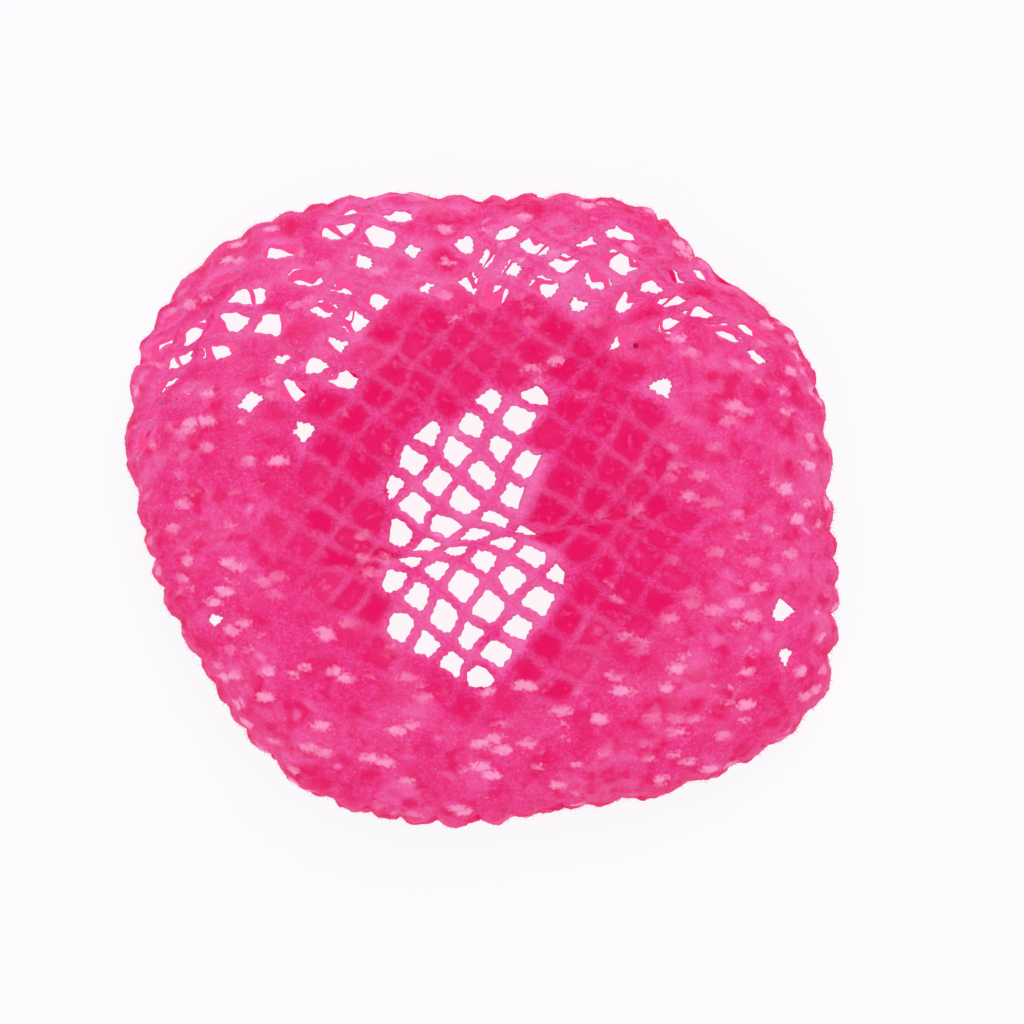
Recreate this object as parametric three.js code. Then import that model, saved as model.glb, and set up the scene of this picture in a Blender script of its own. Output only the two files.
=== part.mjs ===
// Hair bun cover: a slack bag of coarse knitted net that is gathered onto a loop of elastic.
// It lies mouth down on a table: crown up, rolled belly, and a pleated underside that runs in to the mouth.
// Millimetres, +Z up. The origin is on the table, under the middle of the bag.

import * as THREE from "three";

// Driving dimensions of the bag
const HEIGHT = 26;
const BELLY_HEIGHT = 9;
const CROWN_FULLNESS = 2.25;
const WALL = 1.4;
const ROLL_WIDTH = 7.5;
const TABLE_SINK = 0.15;

// The mouth, where the hem is turned over a loop of elastic
const MOUTH_CENTRE = { x: -5.1, y: -3.1 };
const ELASTIC_RADIUS = 1.0;
const HEM_CLEARANCE = 0.3;
const HEM_HEIGHT = 3.6;
const HEM_TURN = 250;
const HEM_APPROACH = 3.6;

// Pleats that the gathering makes on the underside
const PLEATS = 24;
const PLEAT_LIFT = 2.8;
const FULL_PLEAT_RUN = 16;
const HEM_PLEAT_LIFT = 0.4;

// The net: rounded gaps between two families of strands
const GAP_PITCH = 10.6;
const STRAND_WIDTH = 2.4;
const GAP_CORNER_SHARE = 0.84;
const WALE_BEARING = -30.5;
const COURSE_BEARING = 52.5;

// How finely the bag is worked out: the gaps end at the roll's LAST_GAP_ROW
const CROWN_ROWS = 24;
const ROLL_ROWS = 6;
const LAST_GAP_ROW = 3;
const HEM_ROWS = 6;
const ELASTIC_SIDES = 8;
const FACE_STEP = 0.6;

// How the net's squares are drawn out to the ring where the gaps end: a square counts when its middle is
// EDGE_ALLOWANCE of a pitch inside that ring
const EDGE_ALLOWANCE = 0.35;
const EASE = 0.94;
const EASE_ROUNDS = 60;

// The outline from above. Belly is measured from the origin, mouth from the mouth's own centre.
const OUTLINE = [
  { bearing: 0, belly: 52.0, mouth: 14.2 },
  { bearing: 15, belly: 52.9, mouth: 11.6 },
  { bearing: 30, belly: 53.0, mouth: 16.4 },
  { bearing: 45, belly: 49.4, mouth: 23.6 },
  { bearing: 60, belly: 51.2, mouth: 25.6 },
  { bearing: 75, belly: 48.6, mouth: 23.4 },
  { bearing: 90, belly: 46.6, mouth: 19.2 },
  { bearing: 105, belly: 48.8, mouth: 16.4 },
  { bearing: 120, belly: 52.3, mouth: 15.0 },
  { bearing: 135, belly: 55.6, mouth: 13.8 },
  { bearing: 150, belly: 56.7, mouth: 11.8 },
  { bearing: 165, belly: 55.3, mouth: 10.2 },
  { bearing: 180, belly: 51.6, mouth: 9.6 },
  { bearing: 195, belly: 49.7, mouth: 10.4 },
  { bearing: 210, belly: 48.2, mouth: 12.6 },
  { bearing: 225, belly: 49.0, mouth: 15.9 },
  { bearing: 240, belly: 49.5, mouth: 19.8 },
  { bearing: 255, belly: 48.2, mouth: 22.4 },
  { bearing: 270, belly: 47.0, mouth: 23.9 },
  { bearing: 285, belly: 46.4, mouth: 24.6 },
  { bearing: 300, belly: 49.5, mouth: 24.8 },
  { bearing: 315, belly: 53.9, mouth: 23.4 },
  { bearing: 330, belly: 57.8, mouth: 21.2 },
  { bearing: 345, belly: 54.7, mouth: 18.2 },
];

// Dents in the crown: each is a valley along the line between two places seen from above.
// They fade out towards the belly, over the part of the crown that is lower than 1 / CREASE_FADE of its rise.
const CREASE_FADE = 1.6;
const CREASES = [
  { name: "middle", from: [-16, -7.5], to: [22, -1], width: 4.5, depth: 3.0 },
  { name: "shoulder", from: [34, 39], to: [17, 23], width: 5, depth: 3.2 },
  { name: "brow", from: [-0.5, 47], to: [-1, 31], width: 4.5, depth: 2.6 },
  { name: "flank", from: [-54, 27], to: [-33, 21], width: 5, depth: 2.2 },
];

// Rows of the underside from the roll to the start of the hem: how far in, and the share of the pleats' lift
const UNDERSIDE = [
  { inward: 0.32, lift: 0.0 },
  { inward: 0.66, lift: 1.0 },
  { inward: 1.0, lift: 0.45 },
];

const { degToRad, radToDeg, clamp } = THREE.MathUtils;
const HEM_WALL_RADIUS = ELASTIC_RADIUS + HEM_CLEARANCE + WALL / 2;
const TABLE_LINE = WALL / 2 - TABLE_SINK;
const WALE = directionAt(WALE_BEARING).multiplyScalar(GAP_PITCH);
const COURSE = directionAt(COURSE_BEARING).multiplyScalar(GAP_PITCH);

function directionAt(bearing) {
  return new THREE.Vector3(Math.cos(degToRad(bearing)), Math.sin(degToRad(bearing)), 0);
}

// One column of the outline table at any bearing, smooth through its rows
function outlineAt(column, bearing) {
  const count = OUTLINE.length;
  const place = THREE.MathUtils.euclideanModulo((bearing / 360) * count, count);
  const row = Math.floor(place);
  const value = (k) => OUTLINE[(row + k + count) % count][column];
  const t = place - row;
  const slope = (value(1) - value(-1)) / 2;
  const nextSlope = (value(2) - value(0)) / 2;
  return (
    value(0) * (2 * t ** 3 - 3 * t ** 2 + 1) +
    slope * (t ** 3 - 2 * t ** 2 + t) +
    value(1) * (3 * t ** 2 - 2 * t ** 3) +
    nextSlope * (t ** 3 - t ** 2)
  );
}

// How far the creases press the crown down at a place seen from above
function creaseDepth(x, y) {
  let depth = 0;
  for (const crease of CREASES) {
    const start = new THREE.Vector2(...crease.from);
    const along = new THREE.Vector2(...crease.to).sub(start);
    const here = new THREE.Vector2(x, y).sub(start);
    const t = clamp(here.dot(along) / along.lengthSq(), 0, 1);
    const off = here.sub(along.multiplyScalar(t)).length() / crease.width;
    depth += crease.depth * Math.exp(-off * off);
  }
  return depth;
}

// Crown: a full dome from the middle out to the belly
function crownPoints(bearing) {
  const reach = outlineAt("belly", bearing) - WALL / 2;
  const rise = HEIGHT - WALL / 2 - BELLY_HEIGHT;
  const points = [];
  for (let row = 0; row <= CROWN_ROWS; row++) {
    const turn = degToRad((90 * row) / CROWN_ROWS);
    const point = directionAt(bearing).multiplyScalar(reach * Math.sin(turn) ** (2 / CROWN_FULLNESS));
    const share = Math.max(Math.cos(turn), 0) ** (2 / CROWN_FULLNESS);
    const dent = creaseDepth(point.x, point.y) * Math.min(1, CREASE_FADE * share);
    points.push(point.setZ(BELLY_HEIGHT + rise * share - dent));
  }
  return points;
}

// Roll: the wall turns under from the belly to the table
function rollPoints(bearing) {
  const reach = outlineAt("belly", bearing) - WALL / 2;
  const points = [];
  for (let row = 1; row <= ROLL_ROWS; row++) {
    const turn = degToRad((90 * row) / ROLL_ROWS);
    const point = directionAt(bearing).multiplyScalar(reach - ROLL_WIDTH * (1 - Math.cos(turn)));
    points.push(point.setZ(BELLY_HEIGHT - (BELLY_HEIGHT - TABLE_LINE) * Math.sin(turn)));
  }
  return points;
}

// The middle of the elastic at any bearing from the mouth's centre
function elasticPoint(bearing) {
  const reach = outlineAt("mouth", bearing) + WALL / 2 + HEM_WALL_RADIUS;
  const point = directionAt(bearing).multiplyScalar(reach);
  return point.add(new THREE.Vector3(MOUTH_CENTRE.x, MOUTH_CENTRE.y, HEM_HEIGHT));
}

// The level direction across the elastic, towards the mouth
function towardsMouth(bearing) {
  const travel = elasticPoint(bearing + 1).sub(elasticPoint(bearing - 1));
  return new THREE.Vector3(0, 0, 1).cross(travel).normalize();
}

// How high the pleats stand at a bearing, from 0 in a valley to 1 on a ridge
function pleatAt(bearing) {
  return (1 - Math.cos(degToRad(bearing) * PLEATS)) / 2;
}

// Underside: from the roll along the table and up over the pleats to the hem.
// The pleats are lower where that run is short.
function undersidePoints(bearing, start) {
  const elastic = elasticPoint(bearing).setZ(start.z);
  const run = start.distanceTo(elastic) - HEM_APPROACH;
  const end = start.clone().lerp(elastic, run / (run + HEM_APPROACH));
  const rise = HEM_HEIGHT - HEM_WALL_RADIUS - TABLE_LINE;
  const lift = PLEAT_LIFT * Math.min(1, run / FULL_PLEAT_RUN) * pleatAt(bearing);
  return UNDERSIDE.map((row) => {
    const point = start.clone().lerp(end, row.inward);
    return point.setZ(TABLE_LINE + rise * row.inward ** 2 + lift * row.lift);
  });
}

// Hem: the wall turned over the elastic, from under it round its mouth side to its back
function hemPoints(bearing) {
  const elastic = elasticPoint(bearing);
  const inward = towardsMouth(bearing);
  const radius = HEM_WALL_RADIUS + HEM_PLEAT_LIFT * pleatAt(bearing);
  const points = [];
  for (let row = 0; row <= HEM_ROWS; row++) {
    const turn = degToRad((HEM_TURN * row) / HEM_ROWS);
    const point = elastic.clone().addScaledVector(inward, radius * Math.sin(turn));
    points.push(point.setZ(HEM_HEIGHT - radius * Math.cos(turn)));
  }
  return points;
}

// One section: the middle of the wall from the crown to the end of the hem,
// and the length of net from the middle of the crown to each point
function sectionAt(bearing) {
  const points = [...crownPoints(bearing), ...rollPoints(bearing)];
  points.push(...undersidePoints(bearing, points.at(-1)), ...hemPoints(bearing));
  const lengths = [0];
  for (let k = 1; k < points.length; k++) {
    lengths.push(lengths[k - 1] + points[k].distanceTo(points[k - 1]));
  }
  return { points, lengths };
}

// The place on the bag of a point of the net laid flat, measured from the middle of the crown
function bagPoint(flat) {
  const { points, lengths } = sectionAt(radToDeg(Math.atan2(flat.y, flat.x)));
  const length = flat.length();
  const k = lengths.findIndex((reached) => reached >= length);
  if (k < 0) return points.at(-1);
  if (k === 0) return points[0];
  return points[k - 1].lerp(points[k], (length - lengths[k - 1]) / (lengths[k] - lengths[k - 1]));
}

// The outer and the inner face of the wall at a point of the flat net, flattened where it lies on the table
function wallPoints(flat) {
  const near = (x, y) => bagPoint(flat.clone().add(new THREE.Vector3(x, y, 0)));
  const alongX = near(FACE_STEP, 0).sub(near(-FACE_STEP, 0));
  const alongY = near(0, FACE_STEP).sub(near(0, -FACE_STEP));
  const offset = alongX.cross(alongY).setLength(WALL / 2);
  const middle = bagPoint(flat);
  const outer = middle.clone().add(offset);
  outer.z = Math.max(outer.z, 0);
  return { outer, inner: middle.sub(offset) };
}

// A place on the net is a pair of whole numbers, two to a pitch along the wales and the courses.
// A square's middle has two even numbers, and its rim runs through four corners and four middles of sides.
const RIM = [[1, -1], [1, 0], [1, 1], [0, 1], [-1, 1], [-1, 0], [-1, -1], [0, -1]];

function flatPlace([a, b]) {
  return WALE.clone().multiplyScalar(a / 2).addScaledVector(COURSE, b / 2);
}

// Length of net from the middle of the crown to the ring where the gaps end
function ringLength(bearing) {
  return sectionAt(bearing).lengths[CROWN_ROWS + LAST_GAP_ROW];
}

// The rims of all squares whose middles lie well within that ring
function netSquares() {
  const span = 2 * Math.ceil((2 * HEIGHT + ROLL_WIDTH) / GAP_PITCH);
  const squares = [];
  for (let a = -span; a <= span; a += 2) {
    for (let b = -span; b <= span; b += 2) {
      const middle = flatPlace([a, b]);
      const reach = ringLength(radToDeg(Math.atan2(middle.y, middle.x))) - EDGE_ALLOWANCE * GAP_PITCH;
      if (middle.length() <= reach) squares.push(RIM.map(([da, db]) => [a + da, b + db]));
    }
  }
  return squares;
}

// Every step from one rim place to the next, over all squares
function rimSteps(squares) {
  const steps = new Map();
  for (const rim of squares) {
    rim.forEach((place, k) => {
      const next = rim[(k + 1) % rim.length];
      steps.set(`${place}>${next}`, [place, next]);
    });
  }
  return steps;
}

// The places round the edge of the squares, in order: steps that no neighbouring square takes back
function edgeLoop(steps) {
  const onward = new Map();
  for (const [place, next] of steps.values()) {
    if (!steps.has(`${next}>${place}`)) onward.set(`${place}`, next);
  }
  const loop = [onward.values().next().value];
  while (loop.length < onward.size) loop.push(onward.get(`${loop.at(-1)}`));
  return loop;
}

// The bearings of the edge places once they are spaced evenly round the ring
function evenBearings(loop) {
  const own = loop.map((place) => {
    const flat = flatPlace(place);
    return radToDeg(Math.atan2(flat.y, flat.x));
  });
  const share = 360 / loop.length;
  const turnFrom = (k) => THREE.MathUtils.euclideanModulo(own[k] - own[0] - share * k + 180, 360) - 180;
  const lead = own[0] + loop.reduce((sum, _, k) => sum + turnFrom(k), 0) / loop.length;
  return loop.map((_, k) => lead + share * k);
}

// Where each place lies on the flat net: the edge is drawn onto the ring, and the squares inside ease along
function easedPlaces(steps, loop, bearings) {
  const shifts = new Map();
  for (const [place] of steps.values()) shifts.set(`${place}`, new THREE.Vector3());
  loop.forEach((place, k) => {
    const target = directionAt(bearings[k]).multiplyScalar(ringLength(bearings[k]));
    shifts.set(`${place}`, target.sub(flatPlace(place)));
  });
  const held = new Set(loop.map(String));
  for (let round = 0; round < EASE_ROUNDS; round++) {
    const sums = new Map();
    for (const [place, next] of steps.values()) {
      const sum = sums.get(`${place}`) ?? { shift: new THREE.Vector3(), count: 0 };
      sum.shift.add(shifts.get(`${next}`));
      sum.count += 1;
      sums.set(`${place}`, sum);
    }
    for (const [key, { shift, count }] of sums) {
      if (!held.has(key)) shifts.set(key, shift.multiplyScalar(EASE / count));
    }
  }
  const flats = new Map();
  for (const [place] of steps.values()) flats.set(`${place}`, flatPlace(place).add(shifts.get(`${place}`)));
  return flats;
}

// A wall with an outer and an inner face, built from pairs of points
class Wall {
  positions = [];
  index = [];

  pair(flat) {
    const { outer, inner } = wallPoints(flat);
    const outerAt = this.positions.length / 3;
    this.positions.push(...outer.toArray(), ...inner.toArray());
    return { outer: outerAt, inner: outerAt + 1 };
  }

  quad(a, b, c, d) {
    this.index.push(a, b, c, a, c, d);
  }

  // Both faces between four pairs that run anticlockwise seen from outside
  panel(a, b, c, d) {
    this.quad(a.outer, b.outer, c.outer, d.outer);
    this.quad(d.inner, c.inner, b.inner, a.inner);
  }

  // The cut edge from one pair to the next, with the wall on the right
  edge(a, b) {
    this.quad(a.outer, b.outer, b.inner, a.inner);
  }

  geometry() {
    return indexed(this.positions, this.index);
  }
}

function indexed(positions, index) {
  const geometry = new THREE.BufferGeometry();
  geometry.setAttribute("position", new THREE.Float32BufferAttribute(positions, 3));
  geometry.setIndex(index);
  geometry.computeVertexNormals();
  return geometry;
}

// The strands round one gap: a strip from the square's rim to the rounded rim of the gap
function addSquare(wall, rim, flats, pairs) {
  const corners = rim.map((place) => flats.get(`${place}`));
  const middle = corners.reduce((sum, flat) => sum.add(flat), new THREE.Vector3()).divideScalar(rim.length);
  const gapShare = 1 - STRAND_WIDTH / GAP_PITCH;
  const gap = rim.map(([a, b], k) => {
    const isCorner = (a % 2 !== 0) && (b % 2 !== 0);
    const share = isCorner ? gapShare * GAP_CORNER_SHARE : gapShare;
    return wall.pair(middle.clone().lerp(corners[k], share));
  });
  rim.forEach((place, k) => {
    const next = (k + 1) % rim.length;
    wall.panel(pairs.get(`${place}`), pairs.get(`${rim[next]}`), gap[next], gap[k]);
    wall.edge(gap[k], gap[next]);
  });
}

// Rings of wall from the ring where the gaps end, under the roll and the pleats, to the end of the hem
function addGatheredRings(wall, firstRing, bearings) {
  const lengths = bearings.map((bearing) => sectionAt(bearing).lengths);
  let ring = firstRing;
  for (let row = CROWN_ROWS + LAST_GAP_ROW + 1; row < lengths[0].length; row++) {
    const nextRing = bearings.map((bearing, k) => {
      return wall.pair(directionAt(bearing).multiplyScalar(lengths[k][row]));
    });
    ring.forEach((pair, k) => {
      const beside = (k + 1) % ring.length;
      wall.panel(pair, nextRing[k], nextRing[beside], ring[beside]);
    });
    ring = nextRing;
  }
  ring.forEach((pair, k) => wall.edge(ring[(k + 1) % ring.length], pair));
}

// Net bag: pierced over the crown and the roll, and closed up by its pleats underneath
function netBag(squares, steps, loop, bearings) {
  const flats = easedPlaces(steps, loop, bearings);
  const wall = new Wall();
  const pairs = new Map();
  for (const [key, flat] of flats) pairs.set(key, wall.pair(flat));
  for (const rim of squares) addSquare(wall, rim, flats, pairs);
  addGatheredRings(wall, loop.map((place) => pairs.get(`${place}`)), bearings);
  const material = new THREE.MeshStandardMaterial({ color: 0xf03c86, roughness: 0.85, metalness: 0 });
  const mesh = new THREE.Mesh(wall.geometry(), material);
  mesh.name = "net_bag";
  return mesh;
}

// Elastic: a covered cord in a closed loop inside the hem, with its sections beside the hem's
function elasticLoop(bearings) {
  const positions = [];
  const index = [];
  bearings.forEach((bearing, section) => {
    const middle = elasticPoint(bearing);
    const inward = towardsMouth(bearing);
    const ahead = (section + 1) % bearings.length;
    for (let side = 0; side < ELASTIC_SIDES; side++) {
      const turn = degToRad((360 * side) / ELASTIC_SIDES);
      const point = middle.clone().addScaledVector(inward, ELASTIC_RADIUS * Math.cos(turn));
      point.z += ELASTIC_RADIUS * Math.sin(turn);
      positions.push(...point.toArray());
      const next = (side + 1) % ELASTIC_SIDES;
      const [a, b] = [section * ELASTIC_SIDES + side, section * ELASTIC_SIDES + next];
      const [c, d] = [ahead * ELASTIC_SIDES + next, ahead * ELASTIC_SIDES + side];
      index.push(a, b, c, a, c, d);
    }
  });
  const material = new THREE.MeshStandardMaterial({ color: 0xe0246f, roughness: 0.7, metalness: 0 });
  const mesh = new THREE.Mesh(indexed(positions, index), material);
  mesh.name = "elastic_loop";
  return mesh;
}

const squares = netSquares();
const steps = rimSteps(squares);
const loop = edgeLoop(steps);
const bearings = evenBearings(loop);

const bunCover = new THREE.Group();
bunCover.name = "bun_cover";
bunCover.add(netBag(squares, steps, loop, bearings));
bunCover.add(elasticLoop(bearings));

export default bunCover;
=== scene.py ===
"""A knitted net cover for a hair bun, lying mouth down on a pale floor.

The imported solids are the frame. This script dresses them with the real net and its small cells, the
gathers of the underside, the hem turned over the elastic, and the yarn. The bag's form is worked out in
millimetres, with the driving dimensions of the solids, and every mesh is written in metres.
"""

import logging
import math
from dataclasses import dataclass, field
from enum import Enum

import bpy
import numpy as np
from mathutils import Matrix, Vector


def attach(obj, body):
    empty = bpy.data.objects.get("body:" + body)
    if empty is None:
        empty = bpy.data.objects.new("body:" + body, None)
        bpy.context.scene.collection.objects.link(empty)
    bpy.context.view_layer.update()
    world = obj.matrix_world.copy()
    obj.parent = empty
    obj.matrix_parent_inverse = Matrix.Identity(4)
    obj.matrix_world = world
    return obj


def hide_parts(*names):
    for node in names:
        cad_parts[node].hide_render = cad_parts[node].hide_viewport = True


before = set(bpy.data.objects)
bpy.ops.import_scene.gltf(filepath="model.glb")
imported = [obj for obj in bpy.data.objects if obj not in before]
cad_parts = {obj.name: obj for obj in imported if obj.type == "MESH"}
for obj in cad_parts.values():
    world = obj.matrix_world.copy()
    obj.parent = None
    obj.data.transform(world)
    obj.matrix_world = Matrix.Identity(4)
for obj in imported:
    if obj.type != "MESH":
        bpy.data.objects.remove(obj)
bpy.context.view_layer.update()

LOG = logging.getLogger("bun_cover")
MM = 0.001
BODY = "root"
BAG_NODE = "net_bag"
ELASTIC_NODE = "elastic_loop"

Colour = tuple[float, float, float, float]
Array = np.ndarray
Lines = tuple[Array, Array, Array, Array]


@dataclass(frozen=True)
class OutlineRow:
    """One bearing of the outline seen from above.

    Args:
        bearing: Degrees anticlockwise from +X.
        belly: Reach of the belly from the origin, in millimetres.
        mouth: Reach of the mouth's edge from the mouth's own centre, in millimetres.
    """

    bearing: float
    belly: float
    mouth: float


OUTLINE = (
    OutlineRow(bearing=0, belly=52.0, mouth=14.2),
    OutlineRow(bearing=15, belly=52.9, mouth=11.6),
    OutlineRow(bearing=30, belly=53.0, mouth=16.4),
    OutlineRow(bearing=45, belly=49.4, mouth=23.6),
    OutlineRow(bearing=60, belly=51.2, mouth=25.6),
    OutlineRow(bearing=75, belly=48.6, mouth=23.4),
    OutlineRow(bearing=90, belly=46.6, mouth=19.2),
    OutlineRow(bearing=105, belly=48.8, mouth=16.4),
    OutlineRow(bearing=120, belly=52.3, mouth=15.0),
    OutlineRow(bearing=135, belly=55.6, mouth=13.8),
    OutlineRow(bearing=150, belly=56.7, mouth=11.8),
    OutlineRow(bearing=165, belly=55.3, mouth=10.2),
    OutlineRow(bearing=180, belly=51.6, mouth=9.6),
    OutlineRow(bearing=195, belly=49.7, mouth=10.4),
    OutlineRow(bearing=210, belly=48.2, mouth=12.6),
    OutlineRow(bearing=225, belly=49.0, mouth=15.9),
    OutlineRow(bearing=240, belly=49.5, mouth=19.8),
    OutlineRow(bearing=255, belly=48.2, mouth=22.4),
    OutlineRow(bearing=270, belly=47.0, mouth=23.9),
    OutlineRow(bearing=285, belly=46.4, mouth=24.6),
    OutlineRow(bearing=300, belly=49.5, mouth=24.8),
    OutlineRow(bearing=315, belly=53.9, mouth=23.4),
    OutlineRow(bearing=330, belly=57.8, mouth=21.2),
    OutlineRow(bearing=345, belly=54.7, mouth=18.2),
)


@dataclass(frozen=True)
class Crease:
    """A dent along a line between two places on the crown, in millimetres.

    Args:
        start: One end, seen from above.
        end: The other end.
        width: Half width of the valley.
        depth: How deep the valley is.
        pull: How far the net on either side slides towards the line.
    """

    start: tuple[float, float]
    end: tuple[float, float]
    width: float
    depth: float
    pull: float


CREASES = (
    Crease(start=(-16, -7.5), end=(22, -1), width=4.5, depth=3.0, pull=1.5),
    Crease(start=(34, 39), end=(17, 23), width=5.0, depth=3.2, pull=1.3),
    Crease(start=(-0.5, 47), end=(-1, 31), width=4.5, depth=2.6, pull=1.1),
    Crease(start=(-54, 27), end=(-33, 21), width=5.0, depth=2.2, pull=0.8),
)


def place_object(name: str, data: bpy.types.ID) -> bpy.types.Object:
    """Makes an object at the origin and links it to the scene.

    Args:
        name: Its name.
        data: Its mesh, light or camera.

    Returns:
        The object.
    """
    made = bpy.data.objects.new(name, data)
    bpy.context.scene.collection.objects.link(made)
    return made


def set_inputs(node: bpy.types.Node, values: dict[str, object]) -> None:
    """Writes plain values on a node's inputs, by their names."""
    for name, value in values.items():
        node.inputs[name].default_value = value


def directions(bearings: Array) -> Array:
    """Level unit vectors, on a new last axis, at bearings in degrees anticlockwise from +X."""
    turn = np.radians(bearings)
    return np.stack([np.cos(turn), np.sin(turn), np.zeros_like(turn)], axis=-1)


def smooth_share(value: Array, low: float, high: float) -> Array:
    """Shares that rise smoothly from 0, up to the low value, to 1, from the high value on."""
    share = np.clip((value - low) / (high - low), 0, 1)
    return share**2 * (3 - 2 * share)


def outline_at(column: str, bearings: Array) -> Array:
    """One column of the outline, smooth through its rows.

    Args:
        column: The name of the column.
        bearings: Degrees anticlockwise from +X.

    Returns:
        The column's value at each bearing, in millimetres.
    """
    values = np.array([getattr(row, column) for row in OUTLINE])
    count = len(values)
    place = np.mod(bearings / 360.0 * count, count)
    row = np.floor(place).astype(int)
    t = place - row
    before, here, after, beyond = (values[(row + k) % count] for k in (-1, 0, 1, 2))
    slope = (after - before) / 2
    next_slope = (beyond - here) / 2
    return (
        here * (2 * t**3 - 3 * t**2 + 1)
        + slope * (t**3 - 2 * t**2 + t)
        + after * (3 * t**2 - 2 * t**3)
        + next_slope * (t**3 - t**2)
    )


@dataclass(frozen=True)
class Ripple:
    """Smooth random rises and falls over a plane, the same on each run.

    Args:
        shortest: The shortest wavelength, in millimetres.
        longest: The longest wavelength, in millimetres.
        seed: The seed of its random numbers.
        waves: How many waves are added up.
    """

    shortest: float
    longest: float
    seed: int
    waves: int = 9

    def at(self, plan: Array) -> Array:
        """The ripple's height at places.

        Args:
            plan: Places with X and Y on the last axis, in millimetres.

        Returns:
            A height at each place, mostly between -1 and 1.
        """
        rng = np.random.default_rng(self.seed)
        total = np.zeros(plan.shape[:-1])
        for _ in range(self.waves):
            length = rng.uniform(self.shortest, self.longest)
            turn = rng.uniform(0, 2 * math.pi)
            phase = rng.uniform(0, 2 * math.pi)
            along = plan[..., 0] * math.cos(turn) + plan[..., 1] * math.sin(turn)
            total += np.cos(2 * math.pi * along / length + phase)
        return total * math.sqrt(2 / self.waves) / 1.6

    def through(self, points: Array) -> Array:
        """The ripple's height at places in space, for surfaces that stand as well as lie.

        Args:
            points: Places with X, Y and Z on the last axis, in millimetres.

        Returns:
            A height at each place, mostly between -1 and 1.
        """
        rng = np.random.default_rng(self.seed)
        heading = rng.normal(0, 1, (3, self.waves))
        heading /= np.linalg.norm(heading, axis=0)
        length = rng.uniform(self.shortest, self.longest, self.waves)
        phase = rng.uniform(0, 2 * math.pi, self.waves)
        total = np.cos(points @ (2 * math.pi * heading / length) + phase).sum(-1)
        return total * math.sqrt(2 / self.waves) / 1.6


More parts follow.
